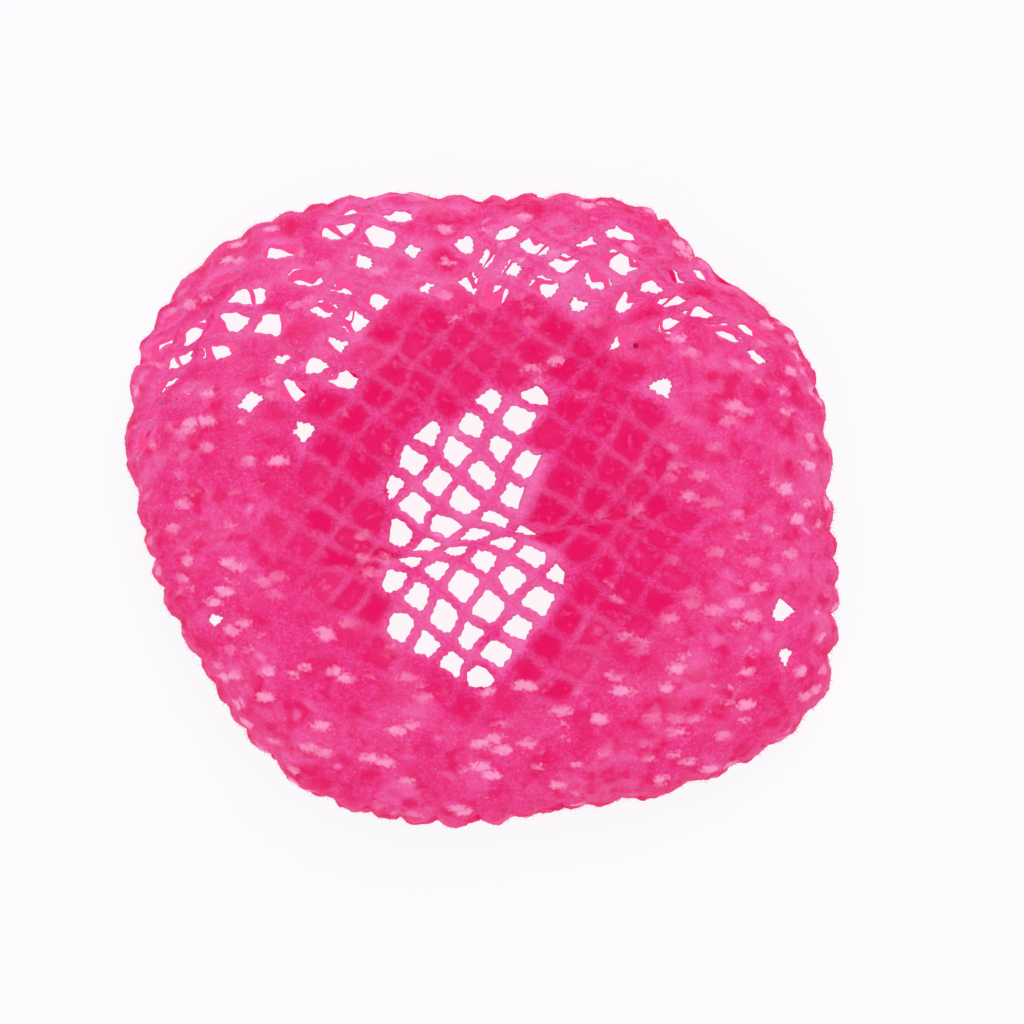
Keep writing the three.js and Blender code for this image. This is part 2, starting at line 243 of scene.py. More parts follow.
@dataclass
class BagForm:
    """The surface that the net lies on, from the crown round to the edge tucked behind the hem.

    Args:
        height: Height of the crown over the table.
        belly_height: Height of the widest line.
        fullness: 2 makes the crown an ellipse, and more makes it squarer.
        half_wall: Half the thickness of the net.
        roll_width: How far the roll turns under.
        table_line: Height of the net's middle where it lies on the table.
        mouth_centre: The mouth's own centre, from above.
        hem_radius: From the middle of the elastic to the middle of the hem's net.
        hem_height: Height of the middle of the elastic.
        hem_turn: How far the hem turns round the elastic, in degrees.
        hem_approach: From the elastic back to the end of the underside.
        pleats: Pleats round the underside.
        pleat_lift: How high the pleats stand.
        full_pleat_run: The run of underside on which they stand so high.
        hem_pleat_lift: How far the pleats swell the hem.
        crease_fade: The creases fade over the crown's rise below one part in this.
        slump: How far the crown sinks and swells at random.
        tuck: Length of net tucked behind the hem.
        tuck_gap: From the net of the underside up to the tucked net.
        flutes: Small gathers round the belly.
        flute_depth: How deep they are.
        flute_fade: How quickly they fade over the crown.
        spread: How much more open the net lies on the far side of the mouth.
        spread_bearing: The bearing of that side, in degrees.
        spread_width: How far round it reaches, in degrees.
        spread_from: Length of net from the crown's middle where the spread starts.
        spread_to: Length of net where it is whole.
    """

    height: float = 26.0
    belly_height: float = 9.0
    fullness: float = 2.25
    half_wall: float = 0.7
    roll_width: float = 7.5
    table_line: float = 0.62
    mouth_centre: tuple[float, float] = (-5.1, -3.1)
    hem_radius: float = 2.0
    hem_height: float = 3.6
    hem_turn: float = 262.0
    hem_approach: float = 3.6
    pleats: int = 24
    pleat_lift: float = 2.8
    full_pleat_run: float = 16.0
    hem_pleat_lift: float = 0.4
    crease_fade: float = 1.6
    slump: float = 0.55
    tuck: float = 4.0
    tuck_gap: float = 1.3
    flutes: int = 54
    flute_depth: float = 1.8
    flute_fade: float = 9.0
    spread: float = 0.85
    spread_bearing: float = 97.0
    spread_width: float = 74.0
    spread_from: float = 34.0
    spread_to: float = 74.0

    bearing_step: float = 0.5
    length_step: float = 0.3
    table: Array = field(init=False)
    net_length: Array = field(init=False)

    def __post_init__(self) -> None:
        """Works out the form once, on a fine grid of bearings and lengths of net."""
        bearings = np.arange(0.0, 360.0, self.bearing_step)
        points = self.sections(bearings)
        steps = np.linalg.norm(np.diff(points, axis=1), axis=2)
        reached = np.concatenate([np.zeros((len(bearings), 1)), np.cumsum(steps, axis=1)], axis=1)
        self.net_length = reached[:, -2]
        lengths = np.arange(0.0, reached[:, -1].max(), self.length_step)
        straight = np.empty((len(bearings), len(lengths), 3))
        for k in range(len(bearings)):
            for axis in range(3):
                straight[k, :, axis] = np.interp(lengths, reached[k], points[k, :, axis])
        self.table = self.with_facing(self.spread_out(straight, bearings, lengths), lengths)

    def crease_depth(self, plan: Array) -> Array:
        """How far the creases press the crown down.

        Args:
            plan: Places with X and Y on the last axis.

        Returns:
            The depth at each place.
        """
        depth = np.zeros(plan.shape[:-1])
        for crease in CREASES:
            off, _ = distance_from(crease, plan[..., :2])
            depth += crease.depth * np.exp(-((off / crease.width) ** 2))
        return depth

    def fluting(self, bearings: Array) -> Array:
        """How far the small gathers push the belly in and out.

        Args:
            bearings: Degrees anticlockwise from +X.

        Returns:
            A distance at each bearing, with a sharp valley between every two gathers.
        """
        turn = np.radians(bearings)
        uneven = 1.3 * np.sin(5 * turn + 1.0) + 0.9 * np.sin(11 * turn + 2.0)
        height = 0.7 + 0.3 * np.sin(7 * turn + 0.6) * np.sin(3 * turn)
        return self.flute_depth * height * (np.abs(np.sin(turn * self.flutes / 2 + uneven)) - 0.72)

    def crown(self, bearings: Array, rows: int = 60) -> Array:
        """The crown from its middle out to the belly.

        Args:
            bearings: Degrees anticlockwise from +X.
            rows: Steps from the middle to the belly.

        Returns:
            Points by bearing and row.
        """
        turn = np.radians(np.linspace(0, 90, rows + 1))
        out = np.sin(turn) ** (2 / self.fullness)
        share = np.clip(np.cos(turn), 0, None) ** (2 / self.fullness)
        reach = outline_at("belly", bearings) - self.half_wall
        fluted = reach[:, None] * out + self.fluting(bearings)[:, None] * out**self.flute_fade
        points = directions(bearings)[:, None, :] * fluted[..., None]
        rise = self.height - self.half_wall - self.belly_height
        fade = np.minimum(1, self.crease_fade * share)
        slump = self.slump * Ripple(shortest=16, longest=34, seed=4).at(points)
        points[..., 2] = self.belly_height + rise * share + fade * (slump - self.crease_depth(points))
        return points

    def roll(self, bearings: Array, rows: int = 14) -> Array:
        """The roll, which turns under from the belly to the table.

        Args:
            bearings: Degrees anticlockwise from +X.
            rows: Steps from the belly to the table.

        Returns:
            Points by bearing and row, without the belly's own.
        """
        turn = np.radians(np.linspace(0, 90, rows + 1)[1:])
        reach = outline_at("belly", bearings) - self.half_wall + self.fluting(bearings)
        out = reach[:, None] - self.roll_width * (1 - np.cos(turn))
        points = directions(bearings)[:, None, :] * out[..., None]
        points[..., 2] = self.belly_height - (self.belly_height - self.table_line) * np.sin(turn)
        return points

    def elastic(self, bearings: Array) -> Array:
        """The elastic's middle at bearings in degrees anticlockwise from +X, from the mouth's centre."""
        reach = outline_at("mouth", bearings) + self.half_wall + self.hem_radius
        return directions(bearings) * reach[:, None] + np.array([*self.mouth_centre, self.hem_height])

    def towards_mouth(self, bearings: Array) -> Array:
        """Level unit vectors across the elastic, towards the mouth.

        Args:
            bearings: Degrees anticlockwise from +X, from the mouth's centre.

        Returns:
            A vector at each bearing.
        """
        travel = self.elastic(bearings + 1) - self.elastic(bearings - 1)
        across = np.cross(np.array([0.0, 0.0, 1.0]), travel)
        return across / np.linalg.norm(across, axis=1, keepdims=True)

    def pleat(self, bearings: Array) -> Array:
        """How high the pleats stand, from 0 in a valley to 1 on a ridge."""
        return (1 - np.cos(np.radians(bearings) * self.pleats)) / 2

    def underside(self, bearings: Array, start: Array, rows: int = 12) -> Array:
        """The underside, from the roll along the table and up over the pleats to the hem.

        Args:
            bearings: Degrees anticlockwise from +X.
            start: The end of the roll at each bearing.
            rows: Steps from the roll to the hem.

        Returns:
            Points by bearing and row, without the roll's own.
        """
        elastic = self.elastic(bearings)
        elastic[:, 2] = start[:, 2]
        whole = np.linalg.norm(elastic - start, axis=1)
        run = whole - self.hem_approach
        inward = np.linspace(0, 1, rows + 1)[1:]
        end = start + (elastic - start) * (run / whole)[:, None]
        points = start[:, None, :] + (end - start)[:, None, :] * inward[None, :, None]
        rise = self.hem_height - self.hem_radius - self.table_line
        lift = self.pleat_lift * np.minimum(1, run / self.full_pleat_run) * self.pleat(bearings)
        share = np.interp(inward, (0, 0.3, 0.66, 1.0), (0, 0.05, 1.0, 0.45))
        points[..., 2] = self.table_line + rise * inward**2 + lift[:, None] * share
        return points

    def hem(self, bearings: Array, rows: int = 22) -> Array:
        """The hem, turned over the elastic from under it round its mouth side to its back.

        Args:
            bearings: Degrees anticlockwise from +X, from the mouth's centre.
            rows: Steps round the elastic.

        Returns:
            Points by bearing and row.
        """
        turn = np.radians(np.linspace(0, self.hem_turn, rows + 1))
        radius = (self.hem_radius + self.hem_pleat_lift * self.pleat(bearings))[:, None]
        across = self.towards_mouth(bearings)[:, None, :] * (radius * np.sin(turn))[..., None]
        points = self.elastic(bearings)[:, None, :] + across
        points[..., 2] -= radius * np.cos(turn)
        return points

    def tucked(self, underside: Array) -> Array:
        """The net's edge, tucked behind the hem over the underside.

        Args:
            underside: Points of the underside by bearing and row.

        Returns:
            Points by bearing and row, and one more row past the edge, which turns up into the bag.
        """
        back = underside[:, -1] - underside[:, -2]
        back = -back / np.linalg.norm(back, axis=1, keepdims=True)
        lifted = underside[:, -1] + np.array([0.0, 0.0, self.tuck_gap])
        rows = [lifted + back * reach for reach in (0.0, self.tuck / 2, self.tuck)]
        rows.append(rows[-1] + back * self.tuck_gap + np.array([0.0, 0.0, self.tuck]))
        return np.stack(rows, axis=1)

    def sections(self, bearings: Array) -> Array:
        """The whole section at each bearing.

        Args:
            bearings: Degrees anticlockwise from +X.

        Returns:
            Points by bearing and row. The net's edge is the last row but one.
        """
        roll = self.roll(bearings)
        underside = self.underside(bearings, roll[:, -1])
        parts = (self.crown(bearings), roll, underside, self.hem(bearings), self.tucked(underside))
        return np.concatenate(parts, axis=1)

    def openness(self, bearings: Array) -> Array:
        """How open the underside lies at bearings in degrees, from 0 where it is gathered most to 1."""
        off = np.mod(bearings - self.spread_bearing + 180, 360) - 180
        return np.exp(-((off / self.spread_width) ** 2))

    def spread_out(self, straight: Array, bearings: Array, lengths: Array) -> Array:
        """Turns the net about the crown, so that it lies more open on one side of the mouth.

        Args:
            straight: Points by bearing and length, with no turn.
            bearings: The grid's bearings.
            lengths: The grid's lengths of net.

        Returns:
            Points by the net's own bearing and length.
        """
        off = bearings - self.spread_bearing
        turn = np.degrees(self.spread * np.sin(np.radians(off)) * self.openness(bearings))
        share = smooth_share(lengths, self.spread_from, self.spread_to)
        place = (bearings[:, None] + turn[:, None] * share[None, :]) / self.bearing_step
        row = np.floor(place).astype(int)
        t = (place - row)[..., None]
        count = len(bearings)
        column = np.arange(len(lengths))[None, :]
        return straight[row % count, column] * (1 - t) + straight[(row + 1) % count, column] * t

    def with_facing(self, points: Array, lengths: Array) -> Array:
        """Adds to each point the way the net faces there, and how it is squeezed round the bag.

        Args:
            points: Points by bearing and length.
            lengths: The grid's lengths of net.

        Returns:
            Seven numbers at each place: point, outward unit vector, and squeeze.
        """
        outward = np.gradient(points, self.length_step, axis=1)
        two_steps = math.radians(2 * self.bearing_step)
        around = (np.roll(points, -1, axis=0) - np.roll(points, 1, axis=0)) / two_steps
        facing = np.cross(outward, around)
        size = np.linalg.norm(facing, axis=2, keepdims=True)
        facing = np.where(size > 1e-6, facing / np.maximum(size, 1e-6), np.array([0.0, 0.0, 1.0]))
        squeeze = np.linalg.norm(around, axis=2) / np.maximum(lengths, self.length_step)[None, :]
        squeeze[:, :3] = 1.0
        return np.concatenate([points, facing, squeeze[..., None]], axis=2)

    def look_up(self, flat: Array) -> tuple[Array, Array, Array]:
        """The place on the bag of places on the net laid flat.

        Args:
            flat: X and Y from the middle of the crown, on the last axis.

        Returns:
            Points, outward unit vectors, and how the net is squeezed there.
        """
        count, reach = self.table.shape[:2]
        bearing = np.degrees(np.arctan2(flat[..., 1], flat[..., 0])) / self.bearing_step
        length = np.hypot(flat[..., 0], flat[..., 1]) / self.length_step
        length = np.minimum(length, reach - 1.001)
        row = np.floor(bearing).astype(int)
        column = np.floor(length).astype(int)
        s = (bearing - row)[..., None]
        t = (length - column)[..., None]
        near = self.table[row % count, column] * (1 - s) + self.table[(row + 1) % count, column] * s
        far = self.table[row % count, column + 1] * (1 - s) + self.table[(row + 1) % count, column + 1] * s
        found = near * (1 - t) + far * t
        facing = found[..., 3:6]
        facing = facing / np.linalg.norm(facing, axis=-1, keepdims=True)
        return found[..., :3], facing, found[..., 6]

    def length_at(self, flat: Array) -> Array:
        """Length of net from the crown's middle to the net's edge.

        Args:
            flat: Places on the flat net, which give the bearings.

        Returns:
            A length at each place.
        """
        bearing = np.degrees(np.arctan2(flat[..., 1], flat[..., 0]))
        row = np.round(bearing / self.bearing_step).astype(int) % len(self.net_length)
        return self.net_length[row]


def distance_from(crease: Crease, plan: Array) -> tuple[Array, Array]:
    """How far places are from a crease's line.

    Args:
        crease: The crease.
        plan: Places with X and Y on the last axis.

    Returns:
        The distance of each place, and the unit vector from the line to it.
    """
    start = np.array(crease.start, float)
    along = np.array(crease.end, float) - start
    t = np.clip(((plan - start) @ along) / (along @ along), 0, 1)
    away = plan - start - t[..., None] * along
    off = np.linalg.norm(away, axis=-1)
    return off, away / np.maximum(off, 1e-6)[..., None]


class Zone(Enum):
    """A part of the net that is one piece.

    Each holds its piece's name, the share of the net's length at which it ends, and whether its cage is
    rounded, which the crowded net that the hem hides does without.
    """

    CROWN = ("net_crown", 0.42, True)
    SHOULDER = ("net_shoulder", 0.60, True)
    ROLL = ("net_roll", 0.74, True)
    UNDERSIDE = ("net_underside", 0.86, True)
    HEM = ("net_hem", 0.935, False)
    EDGE = ("net_edge", 1.0, False)

    def __init__(self, piece: str, end: float, is_rounded: bool) -> None:
        """Gives the three values their names."""
        self.piece = piece
        self.end = end
        self.is_rounded = is_rounded


@dataclass(frozen=True)
class NetGauge:
    """Sizes of the knitted net, in millimetres.

    Args:
        wale_pitch: From one strand to the next along the wales.
        course_pitch: From one strand to the next along the courses.
        wale_bearing: Which way the wales run from above, in degrees.
        course_bearing: Which way the courses run, in degrees.
        first_hole: The middle of one hole, seen from above.
        side_steps: Steps of the cage along one side of a cell.
        stitches: Stitches along one side of a cell.
        half_width: Half width of a strand's cage over the mouth, where the net is taut.
        clear_width: The same round the filled cells of the clear net.
        open_width: The same round the holes of the slack net.
        under_width: The same round the holes of the underside.
        matted_width: The same round a cell that is felted over.
        taut_reach: Reach of the taut net from the mouth's centre.
        slack_reach: Reach from which the net is slack.
        uneven_width: How far a strand's width strays where the net is taut, as a share.
        uneven_slack: How much more it strays where the net is slack.
        half_depth: Half depth of a strand's cage.
        corner: How square the holes are, where the net is taut and where it is slack: 2 is round.
        least_opening: The least share of a cell that stays open.
        stitch_width: How far the stitches swell a strand sideways, as a share.
        stitch_depth: How far they swell it outwards, as a share.
        lobes: How uneven a hole's rim is, as a share of the hole.
        wander: How far the crossings stray.
        bow: How far a strand bows between two crossings.
        rough: How uneven the yarn's edge is.
        knot_lift: How far the crossings stand out of the net.
        crowd_lift: How far crowded strands push each other up and down.
        crowd_from: The squeeze at which the strands start to crowd.
        crowd_to: The squeeze at which they are crowded most.
        crowd_smooth: How far crowding smooths the net's relief.
        clear_centre: The middle of the crown's clear net, where the strands stand out from the cells.
        felt_reach: Reach from there at which cells start to felt over and from which all have.
        felt_stray: How far that reach strays from cell to cell.
        felt_calm: How far felt smooths the net's relief.
        mouth_edge: From the middle of the elastic, where the cells start to be open and where all are.
        mouth_margin: From the middle of the elastic to the holes of those cells.
        hem_reach: Distances past the mouth's edge up to which the hem closes every hole and past which none.
        airy_side: How open the side is where the slack net's holes start and where they are most.
        airy_reach: Reach from the clear net's middle where they start and where they are most.
        airy_open: The share of cells that are holes there, for every other cell and for those between.
        airy_edge: Shares of the net's length where the holes start to be rarer and are rarest.
        least_open: The share of cells that are holes elsewhere.
        under_share: The share of the net's length past which cells lie under the crown.
        down_facing: Z of the outward direction below which a cell may be lined up with a hole above it.
        line_up_reach: The furthest that such a cell is off, seen from above.
        line_up_most: The furthest that its corners slide, in cells.
        sunk_depth: Half the thickness of the fill that closes a cell of the clear net, a sheet painted dark that
            stands in for the shaded net seen below it.
        web_depth: The same in a cell that is felted over.
        web_bulge: How far the middle of such a cell swells out.
        belly_bulge: How much further it swells along the belly.
        belly_middle: The share of the net's length at the belly, and how far the belly reaches either way.
        inside_painted_light: Painted light on the yarn inside the bag, as a density below -1, which makes it glow a
            brighter pink, for light that comes through there.
        rim_painted_light: How much lighter the rims of the holes are painted where the net is stretched open, for
            the light that comes through their thin fluff.
        rim_light_fade: Distances past the mouth's edge between which that painted light fades away.
        sunk_rim_shade: How dark the painted shade is at the rim of a filled cell of the clear net.
        sunk_middle_shade: How dark the painted shade is in its middle, at least and at most.
        felt_dense: How dense it looks where the net is felted over, and how far that varies.
        dark_cells: The share of felted cells with a dark middle.
        lit_cells: The share of them with a pale middle, painted light for the floor's light through thin fluff.
        shaded_gather_share: Shares of the net's length where the painted shade of the gathers starts and where it is
            darkest.
        belly_share: Shares of the net's length where the belly starts and where it is passed.
        belly_shade: How dark the painted shade along the belly is, on the strands and the cells.
        mouth_strand_shade: How dark the painted shade is on the strands over the gathers round the mouth.
        dark_reach: How far past the mouth's edge that starts to fade and has faded.
        patchiness: How much the fluff's density varies from place to place.
        drift: How far the whole net drifts from its rows.
        corner_stray: How far the squareness of the holes varies, as a share.
        open_belly: How much less painted shade the belly has on the net's open side, as a share.
        airy_loss: How much rarer the slack net's holes get towards its edge, as a share.
        first_felt: The share of felt past which a cell outside the mouth may be a hole.
        dark_middle: How dense a dark middle looks, at least and at most.
        lit_middle: How much painted light a pale middle has, as a density below 0, at least and at most.
        uneven_swell: How far the belly's cells swell, at least and at most, as a share.
        seed: The seed of its random numbers.
    """

    wale_pitch: float = 4.87
    course_pitch: float = 4.67
    wale_bearing: float = -30.5
    course_bearing: float = 52.5
    first_hole: tuple[float, float] = (-2.7, 2.5)
    side_steps: int = 6
    stitches: int = 3
    half_width: float = 1.04
    clear_width: float = 0.76
    open_width: float = 1.35
    under_width: float = 0.36
    matted_width: float = 1.2
    taut_reach: float = 17.0
    slack_reach: float = 42.0
    uneven_width: float = 0.10
    uneven_slack: float = 0.16
    half_depth: float = 0.80
    corner: tuple[float, float] = (5.0, 3.0)
    least_opening: float = 0.06
    stitch_width: float = 0.22
    stitch_depth: float = 0.3
    lobes: float = 0.055
    wander: float = 0.34
    bow: float = 0.14
    rough: float = 0.09
    knot_lift: float = 0.6
    crowd_lift: float = 0.15
    crowd_from: float = 0.5
    crowd_to: float = 0.25
    crowd_smooth: float = 0.8
    clear_centre: tuple[float, float] = (1.5, 0.0)
    felt_reach: tuple[float, float] = (25.0, 37.0)
    felt_stray: float = 1.8
    felt_calm: float = 0.8
    mouth_edge: tuple[float, float] = (3.1, 3.5)
    mouth_margin: float = 4.0
    hem_reach: tuple[float, float] = (11.0, 12.5)
    airy_side: tuple[float, float] = (0.36, 0.6)
    airy_reach: tuple[float, float] = (23.0, 28.0)
    airy_open: tuple[float, float] = (0.97, 0.56)
    airy_edge: tuple[float, float] = (0.45, 0.51)
    least_open: float = 0.03
    under_share: float = 0.55
    down_facing: float = -0.4
    line_up_reach: float = 3.4
    line_up_most: float = 1.1
    sunk_depth: float = 0.18
    web_depth: float = 0.66
    web_bulge: float = 0.05
    belly_bulge: float = 0.45
    belly_middle: tuple[float, float] = (0.56, 0.05)
    inside_painted_light: float = -2.0
    rim_painted_light: float = 0.75
    rim_light_fade: tuple[float, float] = (-6.0, -1.0)
    sunk_rim_shade: float = 0.9
    sunk_middle_shade: tuple[float, float] = (0.8, 1.35)
    felt_dense: tuple[float, float] = (0.10, 0.15)
    dark_cells: float = 0.16
    lit_cells: float = 0.12
    shaded_gather_share: tuple[float, float] = (0.66, 0.80)
    belly_share: tuple[float, float] = (0.52, 0.60)
    belly_shade: float = 0.6
    mouth_strand_shade: float = 0.06
    dark_reach: tuple[float, float] = (12.0, 26.0)
    patchiness: float = 0.25
    drift: float = 0.8
    corner_stray: float = 0.35
    open_belly: float = 0.5
    airy_loss: float = 0.9
    first_felt: float = 0.15
    dark_middle: tuple[float, float] = (0.5, 0.9)
    lit_middle: tuple[float, float] = (-0.9, -0.3)
    uneven_swell: tuple[float, float] = (0.6, 1.2)
    seed: int = 11


@dataclass
class KnittedNet:
    """The net: square cells of yarn, worked out flat and laid over the bag.

    Args:
        form: The bag's surface.
        gauge: The net's sizes.
    """

    form: BagForm
    gauge: NetGauge = NetGauge()

    def __post_init__(self) -> None:
        """Lays out the cells and places every point of their cages."""
        self.wale = directions(np.array(self.gauge.wale_bearing))[:2] * self.gauge.wale_pitch
        self.course = directions(np.array(self.gauge.course_bearing))[:2] * self.gauge.course_pitch
        self.rng = np.random.default_rng(self.gauge.seed)
        self.cells = self.find_cells()
        self.rim_steps = self.walk_round_cell()
        self.place_rims()
        self.close_cells()
        self.line_up_holes()
        self.look_of_cells()
        self.place_gaps()

    def find_cells(self) -> Array:
        """The cells whose middles lie on the net.

        Returns:
            Two whole numbers a cell: its place along the wales and along the courses.
        """
        past_edge = 130
        reach = int(past_edge / min(self.gauge.wale_pitch, self.gauge.course_pitch))
        span = np.arange(-reach, reach + 1)
        cells = np.stack(np.meshgrid(span, span, indexing="ij"), axis=-1).reshape(-1, 2)
        middles = self.lattice(cells + 0.5)
        inside = np.linalg.norm(middles, axis=1) <= self.form.length_at(middles)
        return cells[inside]

    def lattice(self, place: Array) -> Array:
        """X and Y on the flat net of places counted in cells, before the yarn strays."""
        corner = np.array(self.gauge.first_hole) - (self.wale + self.course) / 2
        return corner + place[..., :1] * self.wale + place[..., 1:] * self.course

    def walk_round_cell(self) -> Array:
        """Steps anticlockwise round one cell's rim, counted in steps of the cage.

        Returns:
            Two whole numbers a step.
        """
        n = self.gauge.side_steps
        side = np.arange(n)
        zero = np.zeros(n, int)
        full = np.full(n, n)
        first = np.stack([side, zero], axis=1)
        second = np.stack([full, side], axis=1)
        third = np.stack([n - side, full], axis=1)
        fourth = np.stack([zero, n - side], axis=1)
        return np.concatenate([first, second, third, fourth])

    def place_rims(self) -> None:
        """Places the middle lines of the strands, which neighbouring cells share."""
        n = self.gauge.side_steps
        places = self.cells[:, None, :] * n + self.rim_steps[None, :, :]
        low = places.reshape(-1, 2).min(0)
        span = places.reshape(-1, 2).max(0) - low + 1
        keys = (places[..., 0] - low[0]) * span[1] + places[..., 1] - low[1]
        unique, self.rim_index = np.unique(keys, return_inverse=True)
        self.rim_index = self.rim_index.reshape(keys.shape)
        self.rim_places = np.stack([unique // span[1] + low[0], unique % span[1] + low[1]], axis=1)
        self.first_crossing = low // n
        self.crossings = self.rim_places.max(0) // n - self.first_crossing + 2
        self.rim_flat = self.slacken(self.lattice(self.rim_places / n) + self.stray())
        self.find_middles()

    def find_middles(self) -> None:
        """Finds the corners and the middle of each cell on the flat net."""
        n = self.gauge.side_steps
        self.corners = self.rim_flat[self.rim_index[:, [0, n, 2 * n, 3 * n]]]
        self.middles = self.corners.mean(1)

    def between_crossings(self, values: Array) -> Array:
        """Values on the strands that change evenly from each crossing to the next.

        Args:
            values: Two numbers at each crossing, by its place along the wales and the courses.

        Returns:
            Two numbers for each point of the strands.
        """
        n = self.gauge.side_steps
        at = self.rim_places // n - self.first_crossing
        share = (self.rim_places % n) / n
        here = values[at[:, 0], at[:, 1]]
        along_wale = values[at[:, 0] + 1, at[:, 1]]
        along_course = values[at[:, 0], at[:, 1] + 1]
        return here + (along_wale - here) * share[:, :1] + (along_course - here) * share[:, 1:]

    def stray(self) -> Array:
        """How far the yarn strays from the lattice.

        Returns:
            X and Y of the stray at each point of the strands.
        """
        n = self.gauge.side_steps
        wander = self.rng.normal(0, self.gauge.wander, (*self.crossings, 2))
        bows = self.rng.normal(0, self.gauge.bow, (*self.crossings, 2))
        at = self.rim_places // n - self.first_crossing
        share = (self.rim_places % n) / n
        bow = bows[at[:, 0], at[:, 1]] * np.sin(math.pi * share)
        across_wale = self.course / self.gauge.course_pitch
        across_course = self.wale / self.gauge.wale_pitch
        return self.between_crossings(wander) + bow[:, :1] * across_wale + bow[:, 1:] * across_course

    def slacken(self, flat: Array) -> Array:
        """Slides the net into its creases and lets it drift a little.

        Args:
            flat: X and Y of places on the flat net.

        Returns:
            X and Y of each place after the slide.
        """
        drift = np.stack([Ripple(shortest=26, longest=48, seed=seed).at(flat) for seed in (7, 8)], axis=-1)
        moved = flat + self.gauge.drift * drift
        for crease in CREASES:
            off, away = distance_from(crease, moved)
            fade = np.exp(-((off / (2.5 * crease.width)) ** 2))
            slide = crease.pull * np.tanh(2 * off / crease.width) * fade
            moved = moved - away * slide[..., None]
        return moved

    def place_gaps(self) -> None:
        """Places the rounded rim of each cell's hole, a strand's half width in from the cell's own rim."""
        gauge = self.gauge
        n = gauge.side_steps
        middle = self.middles
        along_wale, along_course = self.sides()
        unit = self.rim_steps / n * 2 - 1
        on_wale = np.abs(unit[:, 1]) == 1
        share = np.where(on_wale, self.rim_steps[:, 0], self.rim_steps[:, 1]) / n
        crisp = (1 - gauge.felt_calm * self.felt * self.closed)[:, None]
        swell = 1 + crisp * gauge.stitch_width * np.cos(2 * math.pi * gauge.stitches * share)[None, :]
        slack = self.slackness(middle)[:, None]
        corner = gauge.corner[0] + (gauge.corner[1] - gauge.corner[0]) * slack
        corner = corner * np.exp(self.rng.normal(0, gauge.corner_stray, (len(middle), 1)))
        round_off = (np.abs(unit[None]) ** corner[..., None]).sum(2) ** (-1 / corner)
        width = self.strand_width()[:, None] * swell
        lobed = self.lobed_rim(len(middle))
        moved = []
        for axis, side in enumerate((along_wale, along_course)):
            size = self.length_on_bag(middle, side)
            inset = 2 * width / size[:, None]
            opening = np.clip(1 - inset, gauge.least_opening, 1) * (1 + crisp * (lobed - 1))
            kept = unit[None, :, axis] * opening * round_off
            moved.append(((unit[None, :, axis] - kept) / 2)[..., None] * side[:, None, :])
        rough = self.rng.normal(0, gauge.rough, (*self.rim_index.shape, 2)) * crisp[..., None]
        self.gap_flat = self.rim_flat[self.rim_index] - moved[0] - moved[1] + rough
        self.end_at_mouth()

    def end_at_mouth(self) -> None:
        """Draws the rims of the holes at the mouth's edge back from the hem."""
        gauge = self.gauge
        near = ~self.closed & self.over_mouth
        clear, inward = self.off_elastic(self.form.look_up(self.gap_flat[near])[0][..., :2])
        over = np.maximum(gauge.mouth_margin - clear, 0)
        self.gap_flat[near] += inward * over[..., None]

    def off_elastic(self, plan: Array) -> tuple[Array, Array]:
        """How far places lie from the middle of the elastic, towards the mouth.

        Args:
            plan: Places with X and Y on the last axis.

        Returns:
            A distance for each place, below 0 outside the elastic, and the unit vector towards the mouth.
        """
        bearings = np.arange(0.0, 360.0, 2.0)
        inward = self.form.towards_mouth(bearings)[:, :2]
        off = plan[..., None, :] - self.form.elastic(bearings)[:, :2]
        nearest = np.linalg.norm(off, axis=-1).argmin(-1)
        off = np.take_along_axis(off, nearest[..., None, None], axis=-2)[..., 0, :]
        return (off * inward[nearest]).sum(-1), inward[nearest]

    def sides(self) -> tuple[Array, Array]:
        """Vectors across each cell on the flat net, along the wales and along the courses."""
        first, second, third, fourth = (self.corners[:, k] for k in range(4))
        return (second - first + third - fourth) / 2, (fourth - first + third - second) / 2

    def strand_width(self) -> Array:
        """Half the width of the strands round each cell, which spread where the net is slack or closed.

        Returns:
            A half width for each cell.
        """
        gauge = self.gauge
        slack = self.slackness(self.middles)
        hole = gauge.half_width + (gauge.open_width - gauge.half_width) * slack
        hole = np.where(self.under, gauge.under_width, hole)
        filled = gauge.clear_width + (gauge.matted_width - gauge.clear_width) * self.felt
        uneven = gauge.uneven_width + gauge.uneven_slack * slack * ~self.closed
        return np.where(self.closed, filled, hole) * np.exp(self.rng.normal(0, uneven))

    def open_side(self, middle: Array) -> Array:
        """How open the net lies at places, from 0 where it is gathered most to 1 on its open side."""
        return self.form.openness(np.degrees(np.arctan2(middle[..., 1], middle[..., 0])))

    def slackness(self, middle: Array) -> Array:
        """How slack the net is at the cells' middles, from 0 over the mouth to 1."""
        reach = np.linalg.norm(middle - np.array(self.form.mouth_centre), axis=1)
        return smooth_share(reach, self.gauge.taut_reach, self.gauge.slack_reach)

    def past_mouth(self, middle: Array) -> Array:
        """How far places lie outside the mouth's edge, seen from above.

        Args:
            middle: Places on the flat net.

        Returns:
            A distance for each place, below 0 over the mouth.
        """
        off = middle - np.array(self.form.mouth_centre)
        bearing = np.degrees(np.arctan2(off[..., 1], off[..., 0]))
        return np.linalg.norm(off, axis=-1) - outline_at("mouth", bearing)

    def share_of_length(self, middle: Array) -> Array:
        """The share of the net's length from the crown's middle at which places lie."""
        return np.linalg.norm(middle, axis=-1) / self.form.length_at(middle)

    def belly_shade_share(self, middle: Array) -> Array:
        """How much painted shade the belly has at places, as a share, which is less on the net's open side."""
        return 1 - self.gauge.open_belly * self.open_side(middle)

    def strand_shade_and_tone(self) -> Array:
        """The painted shade on the strands, most over the gathers and along the belly, with random patches of denser
        fluff, as a density.

        Returns:
            A density for each point of the strands.
        """
        gauge = self.gauge
        flat = self.rim_flat
        past = self.past_mouth(flat)
